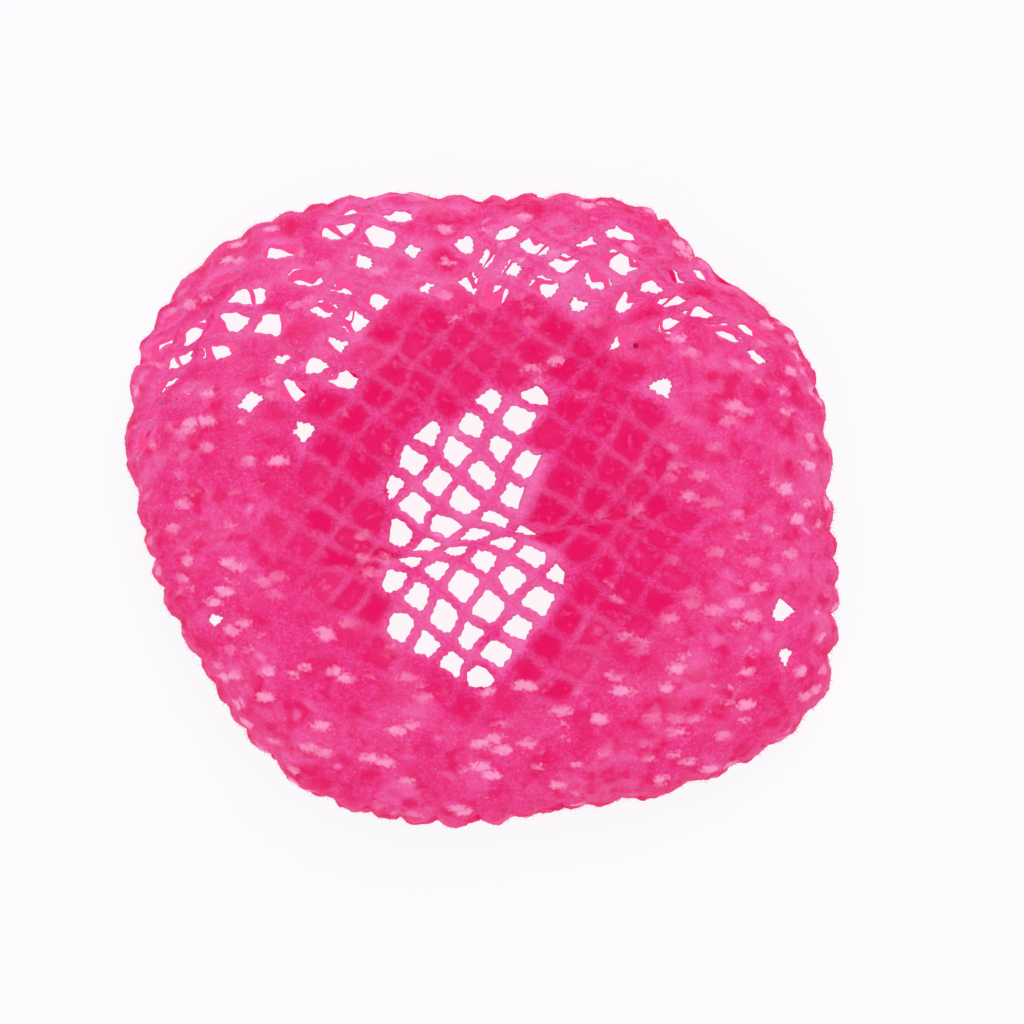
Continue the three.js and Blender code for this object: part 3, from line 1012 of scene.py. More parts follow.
        # Painted shade: the strands over the gathers round the mouth are painted darker.
        near = smooth_share(past, -1, 3) * (1 - smooth_share(past, *gauge.dark_reach))
        # Painted shade: the strands along the belly are painted darker.
        belly = smooth_share(self.share_of_length(flat), *gauge.belly_share) * self.belly_shade_share(flat)
        patches = gauge.patchiness * Ripple(shortest=4, longest=11, seed=21, waves=16).at(flat)
        return gauge.mouth_strand_shade * near + gauge.belly_shade * belly + patches

    def close_cells(self) -> None:
        """Chooses the cells that stay open, and works out how far the others are felted over."""
        gauge = self.gauge
        rng = np.random.default_rng(gauge.seed + 1)
        count = len(self.middles)
        off = np.linalg.norm(self.middles - np.array(gauge.clear_centre), axis=1)
        off = off + rng.normal(0, gauge.felt_stray, count)
        self.under = self.share_of_length(self.middles) > gauge.under_share
        self.felt = np.where(self.under, 1.0, smooth_share(off, *gauge.felt_reach))
        clear = self.off_elastic(self.middles)[0]
        self.over_mouth = clear > gauge.mouth_edge[0]
        over_mouth = smooth_share(clear, *gauge.mouth_edge)
        near_edge = smooth_share(self.share_of_length(self.middles), *gauge.airy_edge)
        airy_and_rim_light = smooth_share(self.open_side(self.middles), *gauge.airy_side)
        airy_and_rim_light = airy_and_rim_light * smooth_share(off, *gauge.airy_reach) * (1 - gauge.airy_loss * near_edge)
        most_open = np.where(self.cells.sum(1) % 2 == 0, *gauge.airy_open)
        kept_open = gauge.least_open + (most_open - gauge.least_open) * airy_and_rim_light
        kept_open = kept_open * (self.felt > gauge.first_felt)
        kept_open = kept_open * smooth_share(self.past_mouth(self.middles), *gauge.hem_reach)
        self.closed = self.under | (rng.random(count) >= np.maximum(over_mouth, kept_open))

    def line_up_holes(self) -> None:
        """Pulls cells of the gathered net under the crown into the shape of the crown's holes above them."""
        gauge = self.gauge
        place, facing, _ = self.form.look_up(self.middles)
        corners = self.form.look_up(self.corners)[0][..., :2]
        above = np.flatnonzero(~self.closed & ~self.over_mouth)
        below = np.flatnonzero(facing[:, 2] < gauge.down_facing)
        off = np.linalg.norm(place[above, None, :2] - place[None, below, :2], axis=2)
        pairs = self.pair_up(off)
        self.closed[above] = True
        above, below = above[pairs[:, 0]], below[pairs[:, 1]]
        self.closed[above] = False
        self.closed[below] = False
        wanted = self.like_corners(corners[above], corners[below]) - corners[below]
        sides = [side[below] for side in self.sides()]
        steps = [self.step_on_bag(self.middles[below], side)[:, :2] for side in sides]
        moved = np.linalg.solve(np.stack(steps, axis=-1)[:, None], wanted[..., None])[..., 0]
        moved = np.clip(moved, -gauge.line_up_most, gauge.line_up_most)
        slide = moved[..., :1] * sides[0][:, None] + moved[..., 1:] * sides[1][:, None]
        total = np.zeros((*self.crossings, 2))
        uses = np.zeros((*self.crossings, 1))
        for k, corner in enumerate(((0, 0), (1, 0), (1, 1), (0, 1))):
            at = self.cells[below] - self.first_crossing + corner
            np.add.at(total, (at[:, 0], at[:, 1]), slide[:, k])
            np.add.at(uses, (at[:, 0], at[:, 1]), 1)
        self.rim_flat = self.rim_flat + self.between_crossings(total / np.maximum(uses, 1))
        self.find_middles()

    def pair_up(self, off: Array) -> Array:
        """Pairs each hole of the crown with a cell below it, the nearest pairs first.

        Args:
            off: How far each cell below is from each hole.

        Returns:
            The numbers of the hole and the cell of each pair.
        """
        near = np.argwhere(off < self.gauge.line_up_reach)
        near = near[np.argsort(off[near[:, 0], near[:, 1]], kind="stable")]
        cell_of_hole = {}
        taken = set()
        for hole, cell in near.tolist():
            if hole not in cell_of_hole and cell not in taken:
                cell_of_hole[hole] = cell
                taken.add(cell)
        return np.array(sorted(cell_of_hole.items()))

    def like_corners(self, holes: Array, cells: Array) -> Array:
        """The corners of holes, in the order that fits the corners of the cells below best.

        Args:
            holes: The four corners of each hole, from above.
            cells: The four corners of each cell below, which run the other way round.

        Returns:
            The corners of each hole, one for each corner of its cell.
        """
        orders = [np.roll(holes[:, ::-1], turn, axis=1) for turn in range(4)]
        centre = holes.mean(1, keepdims=True) - cells.mean(1, keepdims=True)
        misfit = np.array([np.linalg.norm(order - centre - cells, axis=2).sum(1) for order in orders])
        return np.stack(orders)[misfit.argmin(0), np.arange(len(holes))]

    def look_of_cells(self) -> None:
        """Works out each cell's rim and middle as a density, which holds random tone, painted shade and painted
        light, and how each middle swells.
        """
        gauge = self.gauge
        rng = np.random.default_rng(gauge.seed + 2)
        count = len(self.middles)
        share = self.share_of_length(self.middles)
        # Painted light: the rims of the holes over the mouth and on the stretched open side are painted lighter, for
        # light through their thin fluff.
        over_mouth = 1 - smooth_share(self.past_mouth(self.middles), *gauge.rim_light_fade)
        stretched = self.slackness(self.middles) * self.open_side(self.middles)
        airy_and_rim_light = gauge.rim_painted_light * np.maximum(over_mouth, stretched)
        # Painted shade: the gathered underside towards the hem is painted darker.
        shaded_gathers = smooth_share(share, *gauge.shaded_gather_share)
        felted = rng.normal(*gauge.felt_dense, count)
        felted = felted + (1 - felted) * shaded_gathers
        # Painted shade: the filled cells of the clear net are painted dark, as the shaded net below them; felted
        # cells blend towards the felted value.
        filled = gauge.sunk_rim_shade + (felted - gauge.sunk_rim_shade) * self.felt
        # Open cells under the crown take the painted light of the inside.
        self.rim_tone_and_painted_light = np.where(self.closed, filled, np.where(self.under, gauge.inside_painted_light, -airy_and_rim_light))
        drawn = rng.random(count)
        dark = drawn < gauge.dark_cells
        # Painted light: some cells get a pale middle, for the floor's light through thin fluff.
        pale = drawn > 1 - gauge.lit_cells * (1 - shaded_gathers)
        spotted = np.where(dark, rng.uniform(*gauge.dark_middle, count), felted)
        spotted = np.where(pale, rng.uniform(*gauge.lit_middle, count), spotted)
        # Painted shade in the middles of the filled cells of the clear net.
        sunk_shade = rng.uniform(*gauge.sunk_middle_shade, count)
        self.middle_tone_and_painted_light = sunk_shade + (spotted - sunk_shade) * self.felt
        # Painted shade: the cells along the belly, at the outline, are painted darker.
        belly = np.exp(-(((share - gauge.belly_middle[0]) / gauge.belly_middle[1]) ** 2))
        edge = gauge.belly_shade * belly * self.belly_shade_share(self.middles)
        self.rim_tone_and_painted_light = self.rim_tone_and_painted_light + edge * self.closed
        self.middle_tone_and_painted_light = self.middle_tone_and_painted_light + edge
        self.swelling = gauge.web_bulge + gauge.belly_bulge * belly * rng.uniform(*gauge.uneven_swell, count)
        steps = 4 * gauge.side_steps
        felt = np.repeat(self.felt * self.closed, steps)
        self.strand_felt = np.bincount(self.rim_index.ravel(), weights=felt)
        self.strand_felt /= np.bincount(self.rim_index.ravel())

    def lobed_rim(self, count: int) -> Array:
        """How uneven each hole's rim is, as a few random lobes round it.

        Args:
            count: How many holes there are.

        Returns:
            A factor near 1 for each step of each rim.
        """
        turn = np.arange(4 * self.gauge.side_steps) * 2 * math.pi / (4 * self.gauge.side_steps)
        rim = np.ones((count, len(turn)))
        for lobe in (2, 3, 4, 5, 7):
            size = self.rng.normal(0, self.gauge.lobes, (count, 1))
            phase = self.rng.uniform(0, 2 * math.pi, (count, 1))
            rim += size * np.cos(lobe * turn[None, :] + phase)
        return rim

    def length_on_bag(self, middle: Array, side: Array) -> Array:
        """The real size of each cell across its middle, once the net is on the bag."""
        return np.linalg.norm(self.step_on_bag(middle, side), axis=1)

    def step_on_bag(self, middle: Array, side: Array) -> Array:
        """The step across a cell, once the net is on the bag.

        Args:
            middle: The cells' middles on the flat net.
            side: A vector across each cell on the flat net.

        Returns:
            A step in space for each cell.
        """
        start, _, _ = self.form.look_up(middle - side / 2)
        end, _, _ = self.form.look_up(middle + side / 2)
        return end - start

    def crowding(self, squeeze: Array) -> Array:
        """How crowded the strands are, from 0 to 1, where the net is squeezed."""
        span = self.gauge.crowd_from - self.gauge.crowd_to
        return np.clip((self.gauge.crowd_from - squeeze) / span, 0, 1)

    def cage_lines(self) -> Lines:
        """Places the lines of the net's cage on the bag.

        Returns:
            The outer and the inner line of every strand, and the outer and the inner rim of every hole,
            which are one line in an open cell.
        """
        gauge = self.gauge
        point, facing, squeeze = self.form.look_up(self.rim_flat)
        turn = math.pi * self.rim_places.sum(1) / gauge.side_steps
        crowding = self.crowding(squeeze)
        share = self.rim_places / gauge.side_steps
        beat = 2 * math.pi * gauge.stitches * share
        knot = (np.cos(2 * math.pi * share[:, 0]) + np.cos(2 * math.pi * share[:, 1])) / 2
        calm = 1 - gauge.felt_calm * self.strand_felt
        level = gauge.crowd_lift * crowding * np.cos(turn) + gauge.knot_lift * (1 - crowding) * knot * calm
        lump = gauge.stitch_depth * (1 - gauge.crowd_smooth * crowding) * calm
        swell = 1 - lump * np.cos(beat[:, 0]) * np.cos(beat[:, 1])
        depth = gauge.half_depth * swell * (1 + self.rng.normal(0, gauge.rough, len(point)))
        outer = point + facing * (level + depth)[:, None]
        inner = point + facing * (level - depth)[:, None]
        gap, gap_facing, _ = self.form.look_up(self.gap_flat)
        gap_level = level[self.rim_index] + self.rng.normal(0, gauge.rough, self.rim_index.shape)
        gap = gap + gap_facing * gap_level[..., None]
        web_depth = gauge.sunk_depth + (gauge.web_depth - gauge.sunk_depth) * self.felt
        web = gap_facing * (web_depth * self.closed)[:, None, None]
        lines = (outer, inner, gap + web, gap - web)
        for points in lines:
            points[..., 2] = np.maximum(points[..., 2], 0)
        return lines

    def zones(self) -> dict[Zone, Array]:
        """Sorts the cells into zones.

        Returns:
            The numbers of the cells of each zone.
        """
        share = self.share_of_length(self.middles)
        found = {}
        start = 0.0
        for zone in Zone:
            last = zone is Zone.EDGE
            found[zone] = np.flatnonzero((share >= start) & ((share < zone.end) | last))
            start = zone.end
        return found

    def build(self) -> list[bpy.types.Object]:
        """Builds one piece for each zone, from the crown to the net's edge."""
        lines = self.cage_lines()
        return [self.build_zone(zone, cells, lines) for zone, cells in self.zones().items()]

    def build_zone(self, zone: Zone, cells: Array, lines: Lines) -> bpy.types.Object:
        """Builds the strands round some cells, and the fluff in the closed ones, as one smooth solid.

        Args:
            zone: The zone.
            cells: The numbers of its cells.
            lines: The lines of the whole net's cage.

        Returns:
            The piece.
        """
        outer, inner, rim_top, rim_low = lines
        rim = self.rim_index[cells]
        closed = self.closed[cells]
        steps = rim.shape[1]
        used, local = np.unique(rim, return_inverse=True)
        local = local.reshape(rim.shape)
        ahead = np.roll(local, -1, axis=1)
        under = len(used)
        holes = 2 * under + np.arange(local.size).reshape(local.shape)
        low_holes = holes.copy()
        low_holes[closed] = 2 * under + local.size + np.arange(steps * closed.sum()).reshape(-1, steps)
        top = np.stack([local, ahead, np.roll(holes, -1, axis=1), holes], axis=-1)
        bottom = np.stack([low_holes, np.roll(low_holes, -1, axis=1), ahead + under, local + under], axis=-1)
        cut = ~np.isin(local * under + ahead, ahead * under + local)
        seam = np.stack([local[cut], ahead[cut]], axis=1)
        wall = np.stack([seam[:, 1], seam[:, 0], seam[:, 0] + under, seam[:, 1] + under], axis=1)
        top_map, low_map = self.strand_map(len(cells))
        rims = (rim_top[cells].reshape(-1, 3), rim_low[cells[closed]].reshape(-1, 3))
        cage = Cage(
            points=np.concatenate([outer[used], inner[used], *rims]),
            quads=np.concatenate([top.reshape(-1, 4), bottom.reshape(-1, 4), wall]),
            strand=np.concatenate([top_map, low_map, np.zeros((len(wall), 4, 2))]),
            looks=self.looks(cells, used),
            seams=np.concatenate([seam, seam + under]),
        )
        webs = np.concatenate([holes[closed], low_holes[closed][:, ::-1]])
        if zone.is_rounded:
            webs, cage = cage.fine_rims(webs), cage.rounded()
        filled = cells[closed]
        middles = np.stack([self.middle_tone_and_painted_light[filled], self.felt[filled]], axis=1)
        # The inner faces of the filled cells take the painted light of the inside.
        inner_middles = middles * (0, 1) + (self.gauge.inside_painted_light, 0)
        swelling = np.concatenate([self.swelling[filled], np.full(len(filled), self.gauge.web_bulge)])
        cage.close(webs, swelling, np.concatenate([middles, inner_middles]))
        cage.roughen()
        return cage.build(zone.piece)

    def looks(self, cells: Array, used: Array) -> Array:
        """How dense and how felted the yarn is at each point of a cage, where the density also holds painted shade
        and painted light.

        Args:
            cells: The numbers of its cells.
            used: The numbers of the points of its strands.

        Returns:
            A density, which holds painted shade, painted light below 0 and the inside's painted light below -1, and
            a share of felt for each point.
        """
        steps = 4 * self.gauge.side_steps
        strands = np.stack([self.strand_shade_and_tone()[used], self.strand_felt[used]], axis=1)
        # The inner faces of the strands take the painted light of the inside.
        inner = np.stack([np.full(len(used), self.gauge.inside_painted_light), self.strand_felt[used]], axis=1)
        rims = np.stack([self.rim_tone_and_painted_light[cells], (self.felt * self.closed)[cells]], axis=1)
        closed = rims[self.closed[cells]] * (0, 1) + (self.gauge.inside_painted_light, 0)
        round_cells = [np.repeat(values, steps, axis=0) for values in (rims, closed)]
        return np.concatenate([strands, inner, *round_cells])

    def strand_map(self, cell_count: int) -> tuple[Array, Array]:
        """A map whose U runs along each strand in stitches and whose V runs round it in turns.

        Args:
            cell_count: How many cells there are.

        Returns:
            U and V at the corners of the outer quads and of the inner quads.
        """
        n = self.gauge.side_steps
        step = np.arange(4 * n)
        side = (step // n) % 2
        start = self.rim_steps[step, side]
        end = self.rim_steps[(step + 1) % (4 * n), side]
        along = np.stack([start, end, end, start], axis=1) * self.gauge.stitches / n
        top_turn = np.tile([0.0, 0.0, 0.25, 0.25], (4 * n, 1))
        low_turn = np.tile([0.25, 0.25, 0.5, 0.5], (4 * n, 1))
        top = np.stack([along, top_turn], axis=-1)
        low = np.stack([along, low_turn], axis=-1)
        return np.tile(top, (cell_count, 1, 1)), np.tile(low, (cell_count, 1, 1))


GRAIN = Ripple(shortest=0.9, longest=2.4, seed=31, waves=40)
GRAIN_HEIGHT = (0.03, 0.11)


@dataclass
class Cage:
    """A mesh of quads that one rounding makes smooth, after Catmull and Clark.

    Args:
        points: Its points, in millimetres.
        quads: Its quads.
        strand: U and V at the corners of each quad.
        looks: How dense and how felted the yarn is at each point, where the density also holds painted shade and
            painted light.
        seams: Edges that stay sharp, where a strand is shared with the next piece.
    """

    points: Array
    quads: Array
    strand: Array
    looks: Array
    seams: Array

    def __post_init__(self) -> None:
        """Lists the edges of the quads."""
        self.fans = np.empty((0, 3), int)
        key = self.edge_keys(self.quads, np.roll(self.quads, -1, axis=1))
        self.edges, which, self.uses = np.unique(key, return_inverse=True, return_counts=True)
        self.edge_of = which.reshape(self.quads.shape)

    def edge_keys(self, first: Array, second: Array) -> Array:
        """One number for the edge between two points, whichever comes first."""
        return np.minimum(first, second) * len(self.points) + np.maximum(first, second)

    def spread(self, values: Array, onto: Array, count: int) -> Array:
        """Sums rows of values by the number, below count, that each row belongs to."""
        columns = [np.bincount(onto, weights=values[:, k], minlength=count) for k in range(values.shape[1])]
        return np.stack(columns, axis=1)

    def rounded(self) -> "Cage":
        """The same form with each quad split in four and its corners rounded.

        Returns:
            The finer mesh, whose first points are the old points, then one for each edge and each quad.
        """
        count = len(self.points)
        values = np.concatenate([self.points, self.looks], axis=1)
        ends = np.stack([self.edges // count, self.edges % count], axis=1)
        middles = values[ends].mean(1)
        centres = values[self.quads].mean(1)
        beside = self.spread(np.repeat(centres, 4, axis=0), self.edge_of.ravel(), len(self.edges))
        sharp = (self.uses == 1) | np.isin(self.edges, self.edge_keys(self.seams[:, 0], self.seams[:, 1]))
        on_edges = np.where(sharp[:, None], middles, (2 * middles + beside) / 4)
        near_faces = self.spread(np.repeat(centres, 4, axis=0), self.quads.ravel(), count)
        near_edges = self.spread(np.repeat(middles, 2, axis=0), ends.ravel(), count)
        valence = np.bincount(ends.ravel(), minlength=count)[:, None]
        smooth = (near_faces / valence + 2 * near_edges / valence + (valence - 3) * values) / valence
        near_sharp = self.spread(np.repeat(middles[sharp], 2, axis=0), ends[sharp].ravel(), count)
        sharp_valence = np.bincount(ends[sharp].ravel(), minlength=count)[:, None]
        along = values / 2 + near_sharp / 4
        moved = np.where(sharp_valence == 0, smooth, np.where(sharp_valence == 2, along, values))
        fine = np.concatenate([moved, on_edges, centres])
        after = count + self.edge_of
        before = np.roll(after, 1, axis=1)
        centre = count + len(self.edges) + np.arange(len(self.quads))
        quads = np.stack([self.quads, after, np.broadcast_to(centre[:, None], after.shape), before], axis=-1)
        corner = self.strand
        after_map = (corner + np.roll(corner, -1, axis=1)) / 2
        centre_map = np.broadcast_to(corner.mean(1, keepdims=True), corner.shape)
        strand = np.stack([corner, after_map, centre_map, np.roll(after_map, 1, axis=1)], axis=2)
        cut = np.flatnonzero(sharp & (self.uses > 1))
        seams = np.concatenate([np.stack([ends[cut, side], count + cut], axis=1) for side in (0, 1)])
        return Cage(fine[:, :3], quads.reshape(-1, 4), strand.reshape(-1, 4, 2), fine[:, 3:], seams)

    def fine_rims(self, rims: Array) -> Array:
        """The rims of holes in the finer mesh.

        Args:
            rims: The points round each hole, by hole.

        Returns:
            The points of the finer mesh round each hole.
        """
        keys = self.edge_keys(rims, np.roll(rims, -1, axis=1))
        between = len(self.points) + np.searchsorted(self.edges, keys)
        return np.stack([rims, between], axis=-1).reshape(len(rims), -1)

    def close(self, rims: Array, swelling: Array, looks: Array) -> None:
        """Closes holes, each with a ring inside its rim and a fan inside the ring.

        Args:
            rims: The points round each hole, by hole.
            swelling: How far the middle of each swells out.
            looks: The density, which also holds painted shade and painted light, and the share of felt in the middle
                of each.
        """
        every = 4
        ring_reach = 0.6
        ring_rise = 0.75
        shifts = range(-3, 4)
        rim = self.points[rims]
        hub = rim.mean(1, keepdims=True)
        swing = np.cross(rim - hub, np.roll(rim, -1, axis=1) - hub).sum(1, keepdims=True)
        outward = swing / np.linalg.norm(swing, axis=2, keepdims=True) * swelling[:, None, None]
        eased = sum(np.roll(rim, shift, axis=1) for shift in shifts) / len(shifts)
        ring = hub + ring_reach * (eased[:, ::every] - hub) + outward * ring_rise
        sides = ring.shape[1]
        first = len(self.points) + np.arange(len(rims) * sides).reshape(-1, sides)
        second = np.roll(first, -1, axis=1)
        middle = first.size + len(self.points) + np.arange(len(rims))[:, None]
        between = (self.looks[rims].mean(1) + looks) / 2
        self.points = np.concatenate([self.points, ring.reshape(-1, 3), (hub + outward)[:, 0]])
        self.looks = np.concatenate([self.looks, np.repeat(between, sides, axis=0), looks])
        steps = [rims[:, k::every] for k in range(every)]
        steps.append(np.roll(steps[0], -1, axis=1))
        corners = [(steps[k], steps[k + 1], first if k < every // 2 else second) for k in range(every)]
        corners += [(first, steps[every // 2], second), (first, second, middle)]
        fans = [np.stack(np.broadcast_arrays(*three), axis=-1).reshape(-1, 3) for three in corners]
        self.fans = np.concatenate(fans)

    def roughen(self) -> None:
        """Gives the surface the fine lumps of fluffy yarn, which are highest where it is felted."""
        quad = self.points[self.quads]
        fan = self.points[self.fans]
        facing = np.cross(quad[:, 2] - quad[:, 0], quad[:, 3] - quad[:, 1])
        fan_facing = np.cross(fan[:, 1] - fan[:, 0], fan[:, 2] - fan[:, 0])
        count = len(self.points)
        total = self.spread(np.repeat(facing, 4, axis=0), self.quads.ravel(), count)
        total = total + self.spread(np.repeat(fan_facing, 3, axis=0), self.fans.ravel(), count)
        outward = total / np.maximum(np.linalg.norm(total, axis=1, keepdims=True), 1e-9)
        height = GRAIN_HEIGHT[0] + (GRAIN_HEIGHT[1] - GRAIN_HEIGHT[0]) * self.looks[:, 1]
        self.points = self.points + outward * (height * GRAIN.through(self.points))[:, None]
        self.points[:, 2] = np.maximum(self.points[:, 2], 0)

    def build(self, name: str) -> bpy.types.Object:
        """Makes the mesh's object.

        Args:
            name: Its name.

        Returns:
            The object.
        """
        mesh = bpy.data.meshes.new(name)
        mesh.from_pydata((self.points * MM).tolist(), [], [*self.quads.tolist(), *self.fans.tolist()])
        layer = mesh.uv_layers.new(name="strand")
        layer.data.foreach_set("uv", np.concatenate([self.strand.ravel(), np.zeros(6 * len(self.fans))]))
        for column, name in enumerate(("density_and_painted_light", "felt")):
            attribute = mesh.attributes.new(name, "FLOAT", "POINT")
            attribute.data.foreach_set("value", np.ascontiguousarray(self.looks[:, column]))
        pairs = np.empty(len(mesh.edges) * 2, int)
        mesh.edges.foreach_get("vertices", pairs)
        keys = self.edge_keys(pairs[0::2], pairs[1::2])
        sharp = mesh.attributes.new("sharp_edge", "BOOLEAN", "EDGE")
        sharp.data.foreach_set("value", np.isin(keys, self.edge_keys(*self.seams.T)))
        mesh.polygons.foreach_set("use_smooth", np.ones(len(mesh.polygons), bool))
        return place_object(mesh.name, mesh)


@dataclass(frozen=True)
class YarnFinish:
    """A soft, matt, fluffy yarn, which glows a little with painted light.

    Args:
        name: The material's name.
        deep: Colour in the grooves between stitches.
        body: Colour of the yarn.
        bloom_and_light: Colour of its lighter places.
        lit_fleck: Colour of the small pale flecks where it is felted, painted light that stands for the floor's
            light through thin fluff.
        relief: Height of the stitches' relief, in metres.
        sheen: How much light its fluff catches.
        painted_glow: How strongly the yarn glows, a painted light that keeps its red bright in shade, though it is
            no lamp.
        speck: The middle of one small dark speck, seen from above, in metres.
    """
    # deep: Colour of the painted shade in the grooves between stitches and where the yarn is painted dark, and of
    # its random dark blotches.

    # bloom_and_light: Colour of its lighter places: its random lighter tone, and the painted light where light comes
    # through thin fluff.
    name: str
    deep: Colour
    body: Colour
    bloom_and_light: Colour
    lit_fleck: Colour
    relief: float = 0.00014
    sheen: float = 0.18
    painted_glow: float = 0.355
    speck: tuple[float, float, float] = (0.0225, 0.0242, 0.0)

    def material(self) -> bpy.types.Material:
        """Builds the material.

        Returns:
            The material.
        """
        made = bpy.data.materials.new(self.name)
        made.use_nodes = True
        nodes = made.node_tree.nodes
        links = made.node_tree.links
        shader = nodes["Principled BSDF"]
        shader.inputs["Specular IOR Level"].default_value = 0.15
        shader.inputs["Sheen Weight"].default_value = self.sheen
        shader.inputs["Sheen Roughness"].default_value = 0.45
        shader.inputs["Sheen Tint"].default_value = (1.0, 0.62, 0.78, 1.0)
        shader.inputs["Emission Strength"].default_value = self.painted_glow
        place = nodes.new("ShaderNodeTexCoord")
        strand = nodes.new("ShaderNodeUVMap")
        strand.uv_map = "strand"
        yarn = nodes.new("ShaderNodeGroup")
        yarn.node_tree = yarn_group()
        yarn.inputs["Deep And Shade"].default_value = self.deep
        yarn.inputs["Body"].default_value = self.body
        yarn.inputs["Bloom And Light"].default_value = self.bloom_and_light
        yarn.inputs["Lit Fleck"].default_value = self.lit_fleck
        # Painted light: the Glow colour makes all the yarn glow red.
        yarn.inputs["Glow"].default_value = (1.0, 0.0, 0.16, 1.0)
        # Painted light: the Inner Glow colour makes the yarn inside the bag glow a brighter pink.
        yarn.inputs["Inner Glow"].default_value = (1.15, 0.17, 0.56, 1.0)
        yarn.inputs["Speck"].default_value = self.speck
        for attribute, target in (("density_and_painted_light", "Density"), ("felt", "Felt")):
            mark = nodes.new("ShaderNodeAttribute")
            mark.attribute_name = attribute
            links.new(mark.outputs["Fac"], yarn.inputs[target])
        links.new(place.outputs["Object"], yarn.inputs["Place"])
        links.new(strand.outputs["UV"], yarn.inputs["Strand"])
        bump = nodes.new("ShaderNodeBump")
        bump.inputs["Distance"].default_value = self.relief
        links.new(yarn.outputs["Height"], bump.inputs["Height"])
        links.new(yarn.outputs["Color"], shader.inputs["Base Color"])
        links.new(yarn.outputs["Emission"], shader.inputs["Emission Color"])
        links.new(yarn.outputs["Roughness"], shader.inputs["Roughness"])
        links.new(bump.outputs["Normal"], shader.inputs["Normal"])
        return made


class TreeBuilder:
    """Adds nodes to a node tree and links them, one call for each node."""

    kind = "GeometryNodeTree"

    def __init__(self, name: str) -> None:
        """Starts an empty tree.

        Args:
            name: The tree's name.
        """
        self.tree = bpy.data.node_groups.new(name, self.kind)
        self.start = self.tree.nodes.new("NodeGroupInput")
        self.end = self.tree.nodes.new("NodeGroupOutput")

    def socket(self, name: str, kind: str, way: str) -> None:
        """Adds an input or an output.

        Args:
            name: Its name.
            kind: Its socket type.
            way: INPUT or OUTPUT.
        """
        self.tree.interface.new_socket(name=name, in_out=way, socket_type=kind)

    def feed(self, source: object, target: bpy.types.NodeSocket) -> None:
        """Links a socket to another, or writes a number there.

        Args:
            source: A socket or a plain value.
            target: The socket that takes it.
        """
        if isinstance(source, bpy.types.NodeSocket):
            self.tree.links.new(source, target)
        else:
            target.default_value = source

    def node(self, kind: str, inputs: dict[str | int, object], **settings: object) -> bpy.types.Node:
        """Adds a node.

        Args:
            kind: Its type.
            inputs: What its inputs take, by their names or numbers.
            settings: Its other settings.

        Returns:
            The node.
        """
        made = self.tree.nodes.new(kind)
        for name, value in settings.items():
            setattr(made, name, value)
        for key, value in inputs.items():
            self.feed(value, made.inputs[key])
        return made

    def math(self, operation: str, *values: object) -> bpy.types.NodeSocket:
        """Adds a Math node.

        Args:
            operation: What it does.
            values: Its inputs, as sockets or numbers.

        Returns:
            Its output.
        """
        node = self.tree.nodes.new("ShaderNodeMath")
        node.operation = operation
        for value, target in zip(values, node.inputs):
            self.feed(value, target)
        return node.outputs[0]


class GroupBuilder(TreeBuilder):
    """Adds nodes to a shader node group."""

    kind = "ShaderNodeTree"

    def noise(self, place: object, scale: float, detail: float) -> bpy.types.NodeSocket:
        """Adds a Noise Texture.

        Args:
            place: The socket with its coordinates.
            scale: Its scale.
            detail: Its detail.

        Returns:
            Its factor.
        """
        node = self.tree.nodes.new("ShaderNodeTexNoise")
        self.feed(place, node.inputs["Vector"])
        node.inputs["Scale"].default_value = scale
        node.inputs["Detail"].default_value = detail
        return node.outputs["Fac"]

    def spots(self, place: object, scale: float) -> bpy.types.NodeSocket:
        """Adds a Voronoi Texture, whose cells hold one spot each.

        Args:
            place: The socket with its coordinates.
            scale: Its scale.

        Returns:
            The distance from the nearest spot's middle, in cells.
        """
        node = self.tree.nodes.new("ShaderNodeTexVoronoi")
        self.feed(place, node.inputs["Vector"])
        node.inputs["Scale"].default_value = scale
        return node.outputs["Distance"]

    def stretch(self, place: object, scale: tuple[float, float, float]) -> bpy.types.NodeSocket:
        """Adds a Mapping node that scales coordinates.

        Args:
            place: The socket with the coordinates.
            scale: The scale on each axis.

        Returns:
            The scaled coordinates.
        """
        node = self.tree.nodes.new("ShaderNodeMapping")
        self.feed(place, node.inputs["Vector"])
        node.inputs["Scale"].default_value = scale
        return node.outputs["Vector"]

    def ramp(self, value: object, low: float, high: float) -> bpy.types.NodeSocket:
        """Adds a Map Range node that stretches a band to 0 to 1.

        Args:
            value: The socket with the value.
            low: The value that becomes 0.
            high: The value that becomes 1.

        Returns:
            The stretched value.
        """
        node = self.tree.nodes.new("ShaderNodeMapRange")
        self.feed(value, node.inputs["Value"])
        node.inputs["From Min"].default_value = low
        node.inputs["From Max"].default_value = high
        return node.outputs["Result"]

    def mix(self, share: object, first: object, second: object) -> bpy.types.NodeSocket:
        """Adds a Mix node for colours.

        Args:
            share: How much of the second colour shows.
            first: The first colour.
            second: The second colour.

        Returns:
            The mixed colour.
        """
        node = self.tree.nodes.new("ShaderNodeMix")
        node.data_type = "RGBA"
        self.feed(share, node.inputs["Factor"])
        self.feed(first, node.inputs["A"])
        self.feed(second, node.inputs["B"])
        return node.outputs["Result"]


